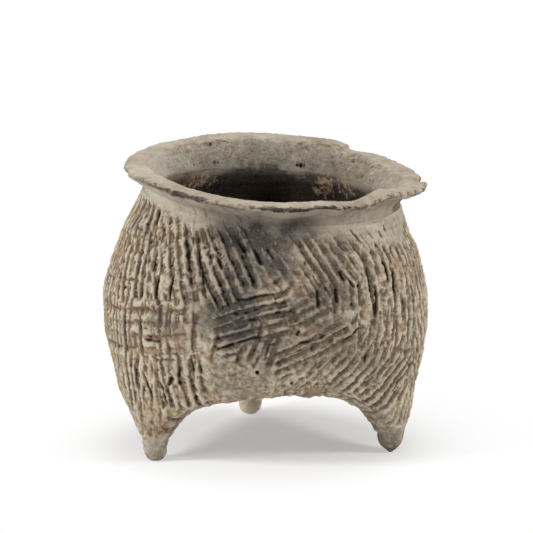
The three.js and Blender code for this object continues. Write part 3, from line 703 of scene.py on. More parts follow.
def patches(points, places):
    phi = np.arctan2(points[..., 1], points[..., 0])
    total = np.zeros(points.shape[:-1])
    ragged = layers(points, 16.0, 41, 3)
    for azimuth, level, reachRound, reachUp, strength in places:
        away = turnBetween(phi, math.radians(azimuth)) * 76 / reachRound
        rise = (points[..., 2] - level) / reachUp
        spread = np.exp(-(away ** 2 + rise ** 2))
        total = np.maximum(total, strength * smooth(spread * (1 + 0.55 * ragged)))
    return total


# Slopes eased over the rim's seat, outside and inside, where the clay was drawn over the joint
def easedNormals(normals, points, side):
    away = (points[..., 2] - pot["neckTop"]) / 4.5
    weight = 0.85 * np.exp(-away ** 2)[..., None]
    flat = np.stack([side * points[..., 0], side * points[..., 1], 0 * away], -1)
    flat = (flat / np.linalg.norm(flat, axis=-1, keepdims=True)
            + np.array([0, 0, -0.15 if side > 0 else 0.45]))
    mixed = mix(normals, flat / np.linalg.norm(flat, axis=-1, keepdims=True), weight)
    return mixed / np.linalg.norm(mixed, axis=-1, keepdims=True)


def skinNormals(outerSlice, innerSlice, innerNormal):
    outside = easedNormals(shapedNormal[outerSlice], upright[outerSlice], 1)
    inside = easedNormals(-innerNormal[innerSlice], innerUpright[innerSlice], -1)
    return np.concatenate([outside.reshape(-1, 3), inside.reshape(-1, 3)])


# Inside, soot covers the wall up to a ragged line, highest at the back, and crusts of lime hang over it
sootLine = [
    (0, 118.0), (33, 119.5), (50, 122.5), (62, 125.0), (75, 125.0), (92, 127.0), (110, 125.5),
    (125, 120.5), (142, 119.0), (180, 116.0), (270, 114.0), (360, 118.0),
]
crustPlaces = [
    (64, 118.5, 9, 8.0, 0.9), (50, 118.5, 9, 6.0, 0.8), (78, 123.5, 6, 2.5, 0.4),
    (130, 117.5, 20, 5, 0.7), (151, 127.4, 5, 2.6, 0.5), (137, 129.4, 4, 2.2, 0.4),
    (140, 124, 3, 4, 0.3), (104, 126, 4, 1.5, 0.3),
]


def sootInside(points):
    phi = np.arctan2(points[..., 1], points[..., 0])
    line = np.interp(np.degrees(phi) % 360, [p[0] for p in sootLine], [p[1] for p in sootLine])
    ragged = (2.6 * noiseFlat(phi * 9, points[..., 2] / 9, 45) + 1.5
              * noiseFlat(phi * 28, points[..., 2] / 3, 46))
    below = line - points[..., 2] + ragged
    below = below + 1.3 * noise(points, 1.8, 49)
    haze = 0.55 * smooth((below + 16.0) / 16.0)
    return np.maximum(haze, smooth((below + 6.0) / 10.0)) + 0.85 * smooth((below - 1.0) / 10.0)


def crusts(points):
    spread = patches(points, crustPlaces)
    phi = np.arctan2(points[..., 1], points[..., 0])
    torn = 0.4 * noiseFlat(phi * 57 / 0.9, points[..., 2] / 2.6, 47) + 0.5 * noise(points, 0.9, 48)
    torn = torn + 0.2 * noise(points, 2.2, 50)
    return np.clip(spread * 1.1 - 0.16 + torn, 0, 0.86) * smooth(spread / 0.2)


bare = (1 - wiped) * (1 - 0.95 * np.clip(patches(upright, sootPlaces) * 1.6, 0, 1))


def skinAttributes(outerSlice, innerPoints, innerStanding):
    outerPoints = upright[outerSlice]
    none = np.zeros(innerPoints.shape[:2])
    smoothed = wiped * smooth((bodyHeight - 95) / 12)
    both = {
        "cavity": (standing[outerSlice], innerStanding),
        "sootAndShade": (patches(outerPoints, sootPlaces), sootInside(innerPoints)),
        "ochre": (patches(outerPoints, ochrePlaces), crusts(innerPoints)),
        "outside": (bare[outerSlice], none),
        "wiped": (smoothed[outerSlice], none + 1),
    }
    return {name: np.concatenate([outer.ravel(), inner.ravel()]) for name, (outer, inner) in both.items()}


innerNeckRow = 12
innerNeck = wallGrid(innerRadius, pot["neckTop"] + half, pot["neckBottom"] + half, innerNeckRow)
innerWall = wallGrid(innerRadius, pot["neckBottom"] + half, pot["bellyJoint"] + half, rowCount["innerWall"])
innerR, innerZ = pouchSkin(innerSkin, azimuths, pot["bellyJoint"] + half, rowCount["innerPouch"])
innerPouch = around(azimuths[None], innerR, innerZ)
innerUpright = np.concatenate([innerNeck, innerWall[1:], innerPouch[1:]])
innerBody = settle(innerUpright)
innerNormal = gridNormals(innerBody)
innerLump = 0.45 * layers(innerBody, 14.0, 51, 3) + 0.2 * np.sin(innerBody[..., 2] * 1.3)
innerEnds = np.arange(innerBody.shape[0])
innerLump = innerLump - 0.9 * crusts(innerUpright) * (0.6 + 0.4 * noise(innerBody, 1.6, 53))
innerLump = innerLump * smooth(innerEnds / 3)[:, None] * smooth((innerEnds[-1] - innerEnds) / 3)[:, None]
innerBody = innerBody + innerNormal * innerLump[..., None]
innerNormal = gridNormals(innerBody)
innerBellyRow = innerNeckRow + rowCount["innerWall"]

pieces = []
spans = [("neck", 0, neckRow, 0, innerNeckRow, "neck_clay", "neck_band"),
         ("wall", neckRow, bellyRow, innerNeckRow, innerBellyRow, "wall_clay", "upper_wall")]
for name, fromRow, toRow, fromInner, toInner, slot, nodeName in spans:
    outerRows, innerRows = slice(fromRow, toRow + 1), slice(fromInner, toInner + 1)
    attributes = skinAttributes(outerRows, innerUpright[innerRows], innerLump[innerRows])
    normals = skinNormals(outerRows, innerRows, innerNormal)
    pieces.append(makeShell(name, shaped[outerRows], innerBody[innerRows], True, attributes, slot,
                            [nodeName],
                            normals))
for index, leg in enumerate(legs):
    columns = np.arange(sectorStarts[index], sectorStarts[index + 1] + 1) % body.shape[1]
    place = np.ix_(np.arange(bellyRow, lastRow + 1), columns)
    innerPlace = np.ix_(np.arange(innerBellyRow, innerBody.shape[0]), columns)
    name = "pouch_" + leg["side"]
    attributes = skinAttributes(place, innerUpright[innerPlace], innerLump[innerPlace])
    normals = skinNormals(place, innerPlace, innerNormal)
    pieces.append(makeShell(name + "_clay", shaped[place], innerBody[innerPlace], False, attributes,
                            "pouch_clay",
                            [name], normals))
print("stage: body pieces")


# The chip in the rim's back edge rises gently and ends at a step
def chipShare(phi):
    fromChip = degreesFrom(phi, rim["chipAt"])
    length = rim["chipLength"]
    return np.where(fromChip < 0, smooth(-fromChip / 1.2) * smooth((fromChip + length) / 9), 0)


def rimTop(phi):
    z = rim["height"] + 0 * phi
    for waves, rise, crest in rim["ripples"]:
        z = z + rise * np.cos(waves * (phi - math.radians(crest)))
    for at, width, depth in rim["dents"]:
        z = z - depth * bumpAt(phi, at, width)
    return z - rim["chipDrop"] * chipShare(phi)


def rimEdge(phi):
    edge = rim["radius"] + rim["stretch"] * np.cos(2 * (phi - math.radians(rim["stretchAt"])))
    fromNotch = degreesFrom(phi, rim["notchAt"])
    farSide = smooth((rim["notchWidth"] - fromNotch) / (1.2 + 0.4 * np.abs(fromNotch)))
    edge = edge - rim["notchDepth"] * smooth((fromNotch + 0.9) / 1.5) * farSide
    behind, before = 0.7 * smooth((24 - fromNotch) / 22), -0.6 * smooth((18 + fromNotch) / 14)
    edge = edge - np.where(fromNotch > 0, behind, before)
    edge = edge - rim["chipDepth"] * chipShare(phi)
    wear = 0.45 * noiseFlat(phi * 7, 0 * phi, 61) + 0.3 * noiseFlat(phi * 24, 0 * phi, 62)
    return edge + np.minimum(wear, 0.25)


# A line through corners, evenly stepped, with its corners eased a little
def easedLine(corners, rows, passes=2):
    p = np.stack(corners)
    path = np.vstack([np.zeros(p.shape[1]), np.cumsum(np.linalg.norm(np.diff(p, axis=0), axis=-1), 0)])
    even = np.linspace(0, 1, rows + 1)
    out = np.empty((rows + 1, p.shape[1], 2))
    for column in range(p.shape[1]):
        share = path[:, column] / path[-1, column]
        for k in range(2):
            out[:, column, k] = np.interp(even, share, p[:, column, k])
    for _ in range(passes):
        out[1:-1] = 0.25 * out[:-2] + 0.5 * out[1:-1] + 0.25 * out[2:]
    return out


phi = azimuths
top, edge = rimTop(phi), rimEdge(phi)
seatOut, seatIn = pot["neckTop"] - half, pot["neckTop"] + half
lip = rim["lip"] * (1 + 0.16 * noiseFlat(phi * 6, 0 * phi, 63) + 0.1 * noiseFlat(phi * 21, 0 * phi, 64))
for at, width, less in rim["thinned"]:
    lip = lip - less * bumpAt(phi, at, width)
throat = innerRadius(phi, seatIn + 0 * phi)
root = top - rim["drop"]
fill = neckFill(phi)
crease = rim["crease"]
neck = pot["neckRadius"]
# The rim's outline: seat, underside, lip, flange and throat
corners = [
    (neckRadius(phi, seatOut + 0 * phi), seatOut), (neck + 0.65 + 1.75 * fill, mix(seatOut, root, 0.25)),
    (neck + 0.8 + 1.6 * fill, mix(seatOut, root, 0.55)), (neck + 1.15 + 1.45 * fill,
                                                          mix(seatOut, root, 0.85)),
    (neck + 1.7 + 1.35 * fill, root + 0.4), (neck + 2.7 + 1.2 * fill, top - 7.5),
    (edge - 8.7 + 0.9 * fill, top - 6.5), (edge - 6.4 + 0.3 * fill, top - 5.6),
    (edge - 4.0, mix(top - lip - 0.75, top - 5.2, 0.6)), (edge - 2.0, top - lip - 0.75),
    (edge - 0.5, top - lip), (edge - 0.05, top - lip + 0.5), (edge, top - 0.9), (edge - 0.4, top - 0.3),
    (edge - 1.3, top + 0.02), (mix(edge, crease, 0.3), top + 0.1), (mix(edge, crease, 0.6), top + 0.05),
    (crease + 1.0, top), (crease + 0.1, top - 0.35), (mix(throat, crease, 0.86), mix(seatIn, top, 0.86)),
    (mix(throat, crease, 0.55), mix(seatIn, top, 0.56)), (mix(throat, crease, 0.25),
                                                          mix(seatIn, top, 0.27)),
    (throat, seatIn),
]
cornerPoints = [np.stack([r + 0 * phi, z + 0 * phi], -1) for r, z in corners]
outline = easedLine(cornerPoints, rowCount["rimOut"])
rimGrid = settle(around(azimuths[None], outline[..., 0], outline[..., 1]))
rimNormal = -gridNormals(rimGrid)
share = np.linspace(0, 1, rimGrid.shape[0])[:, None]
fadeEnds = smooth(share / 0.06) * smooth((1 - share) / 0.04)
rimRelief = 0.38 * layers(rimGrid, 20.0, 71, 3) + 0.16 * layers(rimGrid, 4.0, 75, 2)
rimRelief = rimRelief + 0.14 * noise(rimGrid, 1.3, 79)
onLip = smooth((share - 0.38) / 0.03) * smooth((0.5 - share) / 0.03)
rimRelief = rimRelief + onLip * 0.3 * layers(rimGrid, 2.6, 77, 2)
wavyRim = outline[..., 1] * 2.6 + 2 * noise(rimGrid, 30.0, 81)
wipeLines = 0.035 * np.sin(wavyRim) * smooth((share - 0.6) / 0.1)
rimPits = np.zeros(rimGrid.shape[:2])
# Holes in the rim: azimuth, share of the way from seat over lip to throat, size and depth
holes = [
    (76.3, 0.978, 0.8, 2.7), (78.2, 0.972, 0.6, 2.0), (74.4, 0.975, 0.5, 1.3), (49.6, 0.70, 0.75, 1.3),
    (50.8, 0.70, 0.6, 1.0), (121.3, 0.963, 1.0, 0.7), (119.5, 0.96, 0.7, 0.6), (134.5, 0.965, 0.6, 0.6),
    (122, 0.773, 0.7, 0.8), (174, 0.65, 0.7, 0.6), (176, 0.65, 0.6, 0.5), (233, 0.45, 0.8, 0.7),
    (238, 0.44, 0.7, 0.8), (243, 0.44, 0.9, 0.7), (228, 0.46, 0.7, 0.6), (285, 0.4, 0.6, 0.5),
    (2.5, 0.55, 1.0, 1.2),
]


def scatterHoles(count, around, over, size, depth, draw=chance.uniform):
    for _ in range(count):
        holes.append((draw(*around), draw(*over), chance.uniform(*size), chance.uniform(*depth)))


scatterHoles(150, (20, 165), (0.68, 0.97), (0.3, 0.5), (0.1, 0.32))
scatterHoles(130, (236, 6), (0.425, 0.022), (0.3, 0.6), (0.2, 0.6), chance.normal)
holes += [(119 - 6 * t, 0.711 + 0.052 * t, 0.42, 0.5) for t in np.linspace(0, 1, 9)]
scatterHoles(90, (0, 360), (0.15, 0.98), (0.3, 0.5), (0.15, 0.4))
for at, where, size, deep in holes:
    away = rimGrid - rimGrid[int(where * rowCount["rimOut"]), columnAt(at)]
    near = np.einsum("ijk,ijk->ij", away, away) < (2.5 * size) ** 2
    rimPits[near] -= deep * np.exp(-(np.linalg.norm(away[near], axis=-1) / size) ** 2.4)
rimScratch = scratchesAt(azimuths[None], outline[..., 1]) * (share < 0.42)
rimHeight = (rimRelief + wipeLines + rimPits - 0.4 * rimScratch + 0.1 * noise(rimGrid, 1.0, 89)) * fadeEnds
rimShaped = rimGrid + rimNormal * rimHeight[..., None]
rimRows = rimGrid.shape[0]


# The shares of the way at which the lip's lower edge and the crease of the flange lie
def shareWhere(distance):
    return float(np.mean(np.argmin(distance, 0))) / rowCount["rimOut"]


lipLow = shareWhere(np.abs(outline[..., 1] - (top - lip - 0.2)[None])[:rowCount["rimOut"] // 2])
outerHalf = (np.arange(rimRows) < rimRows // 2)[:, None]
creaseAt = shareWhere(np.abs(outline[..., 0] - crease - 0.4) + 9 * outerHalf)
# Stains on the rim, and painted shade along the lip's lower edge at the front: azimuth, share of the way
# from seat over lip to throat, reach round, reach over, strength
rimDirtAndLipShade = [
    (232, lipLow + 0.03, 6, 0.08, 1.4), (241, lipLow + 0.035, 6, 0.08, 1.5),
    (222, lipLow + 0.02, 6, 0.04, 0.9), (252, lipLow, 9, 0.025, 0.9),
    (276, lipLow + 0.024, 13, 0.045, 1.7), (291, lipLow + 0.026, 13, 0.045, 1.7),
    (304, lipLow + 0.02, 9, 0.03, 1.2), (303, 0.37, 9, 0.035, 0.9), (315, 0.40, 8, 0.03, 0.8),
    (215, 0.42, 10, 0.025, 0.7), (49, 0.70, 5, 0.02, 0.5), (121, 0.74, 8, 0.02, 0.35),
    (340, 0.42, 18, 0.02, 0.6), (190, 0.42, 14, 0.02, 0.5),
]
rimRust = [
    (5.0, 0.5, 6, 0.09, 1.2), (12.0, 0.5, 2.5, 0.05, 1.0), (226, 0.05, 7, 0.06, 0.6),
    (224, 0.40, 3, 0.04, 0.6), (95, 0.5, 20, 0.06, 0.15),
]


def rimPatches(places):
    total = np.zeros(rimGrid.shape[:2])
    ragged = 0.9 * noise(rimGrid, 1.1, 85) + 0.6 * noise(rimGrid, 5.5, 86)
    for azimuth, over, reachRound, reachOver, strength in places:
        away = degreesFrom(azimuths, azimuth)[None] / reachRound
        spread = np.exp(-(away ** 2 + ((share - over) / reachOver) ** 2))
        total = np.maximum(total, strength * smooth(spread * (1 + 0.8 * ragged)))
    return total


# The rim is one closed skin: its two seats are joined by the bevel, and its halves share the split row
def makeRim():
    columns = rimShaped.shape[1]
    vertices = rimShaped.reshape(-1, 3) + axisShift
    column = np.arange(columns)
    nextColumn = (column + 1) % columns
    last = (rimRows - 1) * columns
    seat = np.stack([column, nextColumn, last + nextColumn, last + column], -1)
    faces = np.concatenate([gridQuads(rimRows, columns, columns), seat])
    none = np.zeros(rimGrid.shape[:2])
    rimUpright = around(azimuths[None], outline[..., 0], outline[..., 1])
    inside = smooth((share - 0.56) / 0.08)
    smokeBelow = patches(rimUpright, sootPlaces) * (share < lipLow - 0.02)
    smoke = np.maximum(sootInside(rimUpright) * inside, smokeBelow)
    crusted = np.maximum(crusts(rimUpright) * inside, rimPatches(rimRust))
    # Painted shade under the lip: the underside below the lip is painted darker, and painted lighter on the
    # lit left side as painted light
    litSide = bumpAt(azimuths, 218, 48)[None]
    shaded = smooth((lipLow - 0.02 - share) / 0.05) * (1 - 2.6 * litSide)
    worn = onLip * (0.6 * np.minimum(noise(rimGrid, 2.0, 83), 0) + 0.35 * noise(rimGrid, 1.0, 84))
    funnel = smooth((share - creaseAt) / 0.012)
    paleSide = bumpAt(azimuths, 178, 40)[None]
    grainy = 0.34 * noise(rimGrid, 1.1, 88) + 0.3 * noise(rimGrid, 2.3, 90)
    # Pits and scratches in the rim are painted darker as painted shade, and its relief lighter and darker
    # as painted highlight and shade
    carved = rimPits + 0.45 * rimRelief + worn - 0.4 * rimScratch
    # Smoke and stains, together with the painted shade along the lip's lower edge
    stained = np.maximum(smoke, rimPatches(rimDirtAndLipShade))
    # The cavity and soot values here carry the painted shade under the lip, as well as the rim's pits,
    # smoke and stains
    attributes = {
        "cavity": carved - 0.12 * shaded + funnel * (0.55 * grainy + 0.5 * paleSide),
        "sootAndShade": stained + 0.22 * np.maximum(shaded, 0) + 0.11 * funnel * (1 - paleSide),
        "ochre": crusted,
        "outside": none,
        "wiped": none + 1,
    }
    normals = -gridNormals(rimShaped)
    middle = rimRows // 2
    normals[:middle] = easedNormals(normals[:middle], rimUpright[:middle], 1)
    normals[middle:] = easedNormals(normals[middle:], rimUpright[middle:], -1)
    return makeMesh("rim_clay_ring", vertices, faces, attributes, "rim_clay", ["rim"], normals)


pieces.append(makeRim())
print("stage: rim")


# How far the leg's skin stands from the middle of the leg, at an angle round it and a height
def legRadius(leg, psi, z):
    at = math.radians(leg["azimuth"])
    centreX, centreY = leg["reach"] * math.cos(at), leg["reach"] * math.sin(at)
    near, far = np.zeros(np.broadcast(psi, z).shape), np.full(np.broadcast(psi, z).shape, 20.0)
    for _ in range(20):
        middle = (near + far) / 2
        x, y = centreX + middle * np.cos(psi), centreY + middle * np.sin(psi)
        phi, r = np.arctan2(y, x), np.hypot(x, y)
        fillet = mix(pot["legFillet"], pot["archFillet"], seamShare(phi))
        outside = roundedMax(outerFloor(phi, r) - z, r - wallRadius(phi, z), fillet) > 0
        near, far = np.where(outside, near, middle), np.where(outside, middle, far)
    return near


# The nubs, worn and a little crooked: each was luted on, and its clay was drawn up over the leg
def makeFoot(leg):
    psi = np.linspace(0, turn, int(120 * detail), endpoint=False)[None]
    rounding = np.linspace(0, math.pi / 2, 24)[:, None]
    waist = leg["waist"]
    sole = mix(leg["sole"] * 0.9, waist, np.sin(rounding) ** leg["point"])
    soleLevel = leg["rounding"] * (1 - np.cos(rounding))
    rise = np.linspace(0, 1, 46)[1:, None]
    drawnUp = leg["drawn"]
    sideLevel = mix(leg["rounding"], leg["nubHeight"] + drawnUp, rise)
    overLeg = smooth((sideLevel - leg["nubHeight"] + 0.5) / drawnUp)
    onLeg = legRadius(leg, psi, np.maximum(sideLevel, leg["nubHeight"] + 0.9) + 0 * psi)
    edge = 0.5 * noiseFlat(3 * np.cos(psi) + 9, 3 * np.sin(psi) + sideLevel / 3, 55)
    sleeve = onLeg + leg["over"] * (1 - overLeg) + (edge - 0.9) * overLeg
    toSleeve = smooth((sideLevel - leg["rounding"]) / (leg["nubHeight"] + 0.8 - leg["rounding"]))
    side = mix(waist + 0 * psi, sleeve, toSleeve)
    radius = np.concatenate([sole + 0 * psi, side, side[-1:] * 0 + 2.4])
    level = np.concatenate([soleLevel, sideLevel, sideLevel[-1:]]) + 0 * psi
    at = math.radians(leg["azimuth"])
    centre = np.array([leg["reach"] * math.cos(at), leg["reach"] * math.sin(at), 0])
    points = around(psi, radius, level) + centre
    rough = 0.35 * layers(points, 6.0, 91, 2) + 0.3 * noise(points, 2.4, 95) + 0.3 * noise(points, 1.1, 96)
    worn = smooth(level / 1.5)
    worn[-1] = 0
    outward = around(psi, 1 + 0 * radius, 0 * radius)
    points = points + outward * (rough * worn)[..., None]
    columns, rows = points.shape[1], points.shape[0]
    flat = np.concatenate([points.reshape(-1, 3), [points[0].mean(0)], [points[-1].mean(0)]])
    column = np.arange(columns)
    nextColumn = (column + 1) % columns
    row = np.arange(rows - 1)[:, None] * columns
    above = row + columns
    quads = np.stack([row + column, row + nextColumn, above + nextColumn, above + column], -1)
    low = np.stack([0 * column + rows * columns, nextColumn, column, column], -1)
    last = (rows - 1) * columns
    high = np.stack([0 * column + rows * columns + 1, last + column, last + nextColumn, last + nextColumn],
                    -1)
    faces = np.concatenate([quads.reshape(-1, 4), low, high])
    values = np.append(rough.ravel(), [0, 0])
    none = 0 * values
    isPale = leg["side"] == "rear"
    grimy = np.clip(layers(flat, 7.0, 99, 3) * 0.8, 0, 0.35)
    grimy = grimy + 0.35 * (leg["side"] == "right") * smooth((7 - flat[:, 2]) / 6)
    attributes = {"cavity": values * 0.6 + 0.12 + 0.3 * isPale, "sootAndShade": grimy * (not isPale),
                  "ochre": none + leg["rusty"], "outside": none, "wiped": none + 0.5 * (not isPale)}
    slot = "pale_foot_clay" if isPale else "foot_clay"
    return makeMesh("nub_" + leg["side"], flat + axisShift, faces, attributes, slot,
                    ["foot_tip_" + leg["side"]])


for leg in legs:
    pieces.append(makeFoot(leg))


acrossStrip = 15  # points over a strip's width


def betweenColumns(wrapped, row):
    at = np.concatenate([azimuths, [azimuths[0] + turn]])
    return np.stack([np.interp(wrapped, at, np.append(row[:, k], row[0, k])) for k in range(3)], -1)


# A strip pressed along a seam on the underside: it follows the finished skin, and thins to its edges
def makeStrip(place, azimuthAt):
    start = columnAt(azimuthAt)
    rowsIn = [r for r in range(bellyRow, lastRow + 1) if bodyHeight[r, start] < pot["crotch"]
              + pot["stripRise"]]
    rowsIn = [r for r in rowsIn if np.hypot(*upright[r, start, :2]) > pot["padRadius"] + 0.4]
    lines = []
    crowns = []
    for order, r in enumerate(rowsIn):
        here, normal = shaped[r], bodyNormal[r]
        radius = max(np.hypot(*upright[r, start, :2]), 1.0)
        across = np.linspace(-0.5, 0.5, acrossStrip) * pot["stripWidth"] * (1 + 0.08 * math.sin(r * 0.31))
        turned = math.radians(azimuthAt) + np.arctan2(across, radius)
        wrapped = np.mod(turned - azimuths[0], turn) + azimuths[0]
        point, n = betweenColumns(wrapped, here), betweenColumns(wrapped, normal)
        t = order / max(len(rowsIn) - 1, 1)
        ends = min(1.0, 2.2 * t) * min(1.0, 6 * (1 - t) + 0.5)
        domed = 0.08 + 0.92 * (1 - np.linspace(-1, 1, acrossStrip) ** 2) ** 0.7
        crown = pot["stripThickness"] * ends * domed
        lines.append(point + n * 0.02)
        crowns.append(point + n * crown[:, None])
    seat, crown = np.array(lines), np.array(crowns)
    rough = 0.25 * layers(crown, 7.0, 101, 3)
    crown[..., 2] -= 0.2 * rough
    values = np.concatenate([rough.ravel(), rough.ravel()])
    attributes = {"cavity": values - 0.1, "sootAndShade": 0 * values + 0.1, "ochre": 0 * values + 0.2, "outside": 0
                  * values}
    return makeShell("strip_" + place, crown, seat, False, attributes, "strip_clay",
                     ["crotch_strip_" + place])


for place, at in seams:
    pieces.append(makeStrip(place, at))


def makePad():
    edge = shaped[lastRow]
    columns = edge.shape[0]
    ringCount = 13
    rings = np.linspace(1, 0, ringCount + 1)[:, None, None]
    centre = edge.mean(0)
    bulge = np.array([0, 0, -pot["padBulge"]])
    outer = centre + (edge - centre)[None] * rings + bulge * (1 - rings ** 2)
    top = settle(around(azimuths, pot["padRadius"] + 0 * azimuths, innerZ[-1]))
    innerCentre = top.mean(0)
    inner = innerCentre + (top - innerCentre)[None] * rings
    outerPoints, innerPoints = outer[:-1].reshape(-1, 3), inner[:-1].reshape(-1, 3)
    vertices = np.concatenate([outerPoints, [outer[-1, 0]], innerPoints, [inner[-1, 0]]])
    column = np.arange(columns)
    nextColumn = (column + 1) % columns
    quads = gridQuads(ringCount, columns, columns)
    ring = (ringCount - 1) * columns
    tip = ringCount * columns
    cap = np.stack([ring + column, 0 * column + tip, ring + nextColumn, ring + nextColumn], -1)
    shift = tip + 1
    wall = np.stack([column, nextColumn, shift + nextColumn, shift + column], -1)
    inRing = shift + ring
    capIn = np.stack([inRing + nextColumn, 0 * column + shift + tip, inRing + column, inRing + column], -1)
    faces = np.concatenate([quads, cap, (quads + shift)[:, ::-1], capIn, wall])
    count = len(vertices)
    inRoom = (np.arange(count) >= shift) * 1.0
    attributes = {"cavity": np.full(count, -0.1), "sootAndShade": 0.2 + 1.65 * inRoom, "ochre": 0.2 * (1 - inRoom),
                  "outside": np.zeros(count)}
    return makeMesh("pad", vertices + axisShift, faces, attributes, "strip_clay", ["crotch_pad"])


pieces.append(makePad())
print("stage: nubs, strips and pad")


def node(tree, kind, place, **settings):
    made = tree.nodes.new(kind)
    made.location = place
    for name, value in settings.items():
        setattr(made, name, value)
    return made


# Clay colours as a node group: colour, roughness and height from the relief and the stains
def clayGroup():
    tree = bpy.data.node_groups.new("firedClay", "ShaderNodeTree")
    face = tree.interface
    for name, kind, default in [
        ("Crest", "NodeSocketColor", (0.56, 0.5, 0.395, 1)), ("Body", "NodeSocketColor",
                                                              (0.355, 0.279, 0.19, 1)),
        ("Groove", "NodeSocketColor", (0.16, 0.111, 0.07, 1)),
        ("Slit", "NodeSocketColor", (0.012, 0.009, 0.007, 1)),
        ("Warm", "NodeSocketColor", (0.36, 0.245, 0.14, 1)), ("Cool", "NodeSocketColor",
                                                              (0.215, 0.208, 0.18, 1)),
        ("Smoke", "NodeSocketColor", (0.062, 0.054, 0.045, 1)), ("Uneven", "NodeSocketFloat", 1.0),
        ("Rust", "NodeSocketFloat", 1.0), ("Wiped Crest", "NodeSocketColor", (0.52, 0.468, 0.38, 1)),
        ("Wiped Body", "NodeSocketColor", (0.392, 0.342, 0.27, 1)),
    ]:
        socket = face.new_socket(name, in_out="INPUT", socket_type=kind)
        socket.default_value = default
    for name, kind in [("Color", "NodeSocketColor"), ("Roughness", "NodeSocketFloat"),
                       ("Height", "NodeSocketFloat")]:
        face.new_socket(name, in_out="OUTPUT", socket_type=kind)
    start = node(tree, "NodeGroupInput", (-1400, 0))
    finish = node(tree, "NodeGroupOutput", (1400, 0))
    link = tree.links.new
    place = node(tree, "ShaderNodeTexCoord", (-1400, -400))

    def attribute(name, y):
        return node(tree, "ShaderNodeAttribute", (-1400, y), attribute_name=name).outputs["Fac"]

    def texture(scale, detailLevel, rough, y):
        made = node(tree, "ShaderNodeTexNoise", (-1150, y))
        made.inputs["Scale"].default_value = scale
        made.inputs["Detail"].default_value = detailLevel
        made.inputs["Roughness"].default_value = rough
        link(place.outputs["Object"], made.inputs["Vector"])
        return made.outputs["Fac"]

    def ramp(value, low, high, y, outLow=0.0, outHigh=1.0, x=-850):
        made = node(tree, "ShaderNodeMapRange", (x, y), interpolation_type="SMOOTHSTEP")
        made.inputs["From Min"].default_value = low
        made.inputs["From Max"].default_value = high
        made.inputs["To Min"].default_value = outLow
        made.inputs["To Max"].default_value = outHigh
        link(value, made.inputs["Value"])
        return made.outputs["Result"]

    def feed(value, socket):
        if isinstance(value, (int, float, tuple)):
            socket.default_value = value
        else:
            link(value, socket)

    def blend(factor, a, b, x, y):
        made = node(tree, "ShaderNodeMix", (x, y), data_type="RGBA")
        link(factor, made.inputs["Factor"])
        feed(a, made.inputs[6])
        feed(b, made.inputs[7])
        return made.outputs[2]

    def calculate(operation, a, b, x, y):
        made = node(tree, "ShaderNodeMath", (x, y), operation=operation)
        feed(a, made.inputs[0])
        feed(b, made.inputs[1])
        return made.outputs[0]

    cavity = attribute("cavity", 400)
    # This value is soot, and on the rim also painted shade under the lip
    sootAndShade = attribute("sootAndShade", 250)
    ochre = attribute("ochre", 100)
    smoothed = attribute("wiped", -50)
    marked = ramp(smoothed, 0.0, 1.0, -50, 1.0, 0.25)
    broad = texture(60, 4, 0.6, 600)
    cloud = texture(90, 3, 0.6, 750)
    mottle = texture(170, 5, 0.65, 450)
    patch = texture(120, 4, 0.7, 900)
    fineSand = texture(1500, 3, 0.7, 300)
    sand = node(tree, "ShaderNodeTexVoronoi", (-1150, -600), feature="F1")
    sand.inputs["Scale"].default_value = 900
    link(place.outputs["Object"], sand.inputs["Vector"])
    speckle = ramp(sand.outputs["Distance"], 0.12, 0.3, -600, 1.0, 0.0)
    pick = node(tree, "ShaderNodeSeparateColor", (-950, -750))
    link(sand.outputs["Color"], pick.inputs["Color"])
    isPale = ramp(pick.outputs["Red"], 0.74, 0.78, -750)
    isDark = ramp(pick.outputs["Green"], 0.8, 0.84, -900)

    uneven = calculate("MULTIPLY_ADD", mottle, 0.7, -700, 420)
    uneven.node.inputs[2].default_value = -0.35
    level = calculate("ADD", cavity, uneven, -600, 400)
    bodyColor = blend(smoothed, start.outputs["Body"], start.outputs["Wiped Body"], -350, 640)
    crestColor = blend(smoothed, start.outputs["Crest"], start.outputs["Wiped Crest"], -350, 560)
    # Ridges are painted lighter: partly worn clay, partly painted highlight
    crest = blend(ramp(level, -0.05, 0.42, 400, x=-400), bodyColor, crestColor, -200, 500)
    patchy = calculate("MULTIPLY", marked, start.outputs["Uneven"], -700, 780)
    warmth = calculate("MULTIPLY", ramp(broad, 0.5, 0.72, 600, 0.0, 0.5), patchy, -600, 700)
    coolness = calculate("MULTIPLY", ramp(cloud, 0.5, 0.7, 750, 0.0, 0.55), patchy, -600, 850)
    tinted = blend(warmth, crest, start.outputs["Warm"], -50, 420)
    cooled = blend(coolness, tinted, start.outputs["Cool"], 50, 420)
    aboveFloor, belowCrest = ramp(level, -0.3, -0.08, 350, x=-400), ramp(level, 0.24, 0.02, 330, x=-400)
    flank = calculate("MULTIPLY", aboveFloor, belowCrest, -200, 340)
    rustReach = calculate("MULTIPLY", marked, start.outputs["Rust"], -300, 280)
    rustShare = calculate("MULTIPLY", ramp(patch, 0.4, 0.6, 900, 0.0, 0.75), rustReach, -150, 300)
    stained = calculate("MULTIPLY", flank, rustShare, -100, 340)
    rusty = blend(stained, cooled, start.outputs["Warm"], 150, 400)
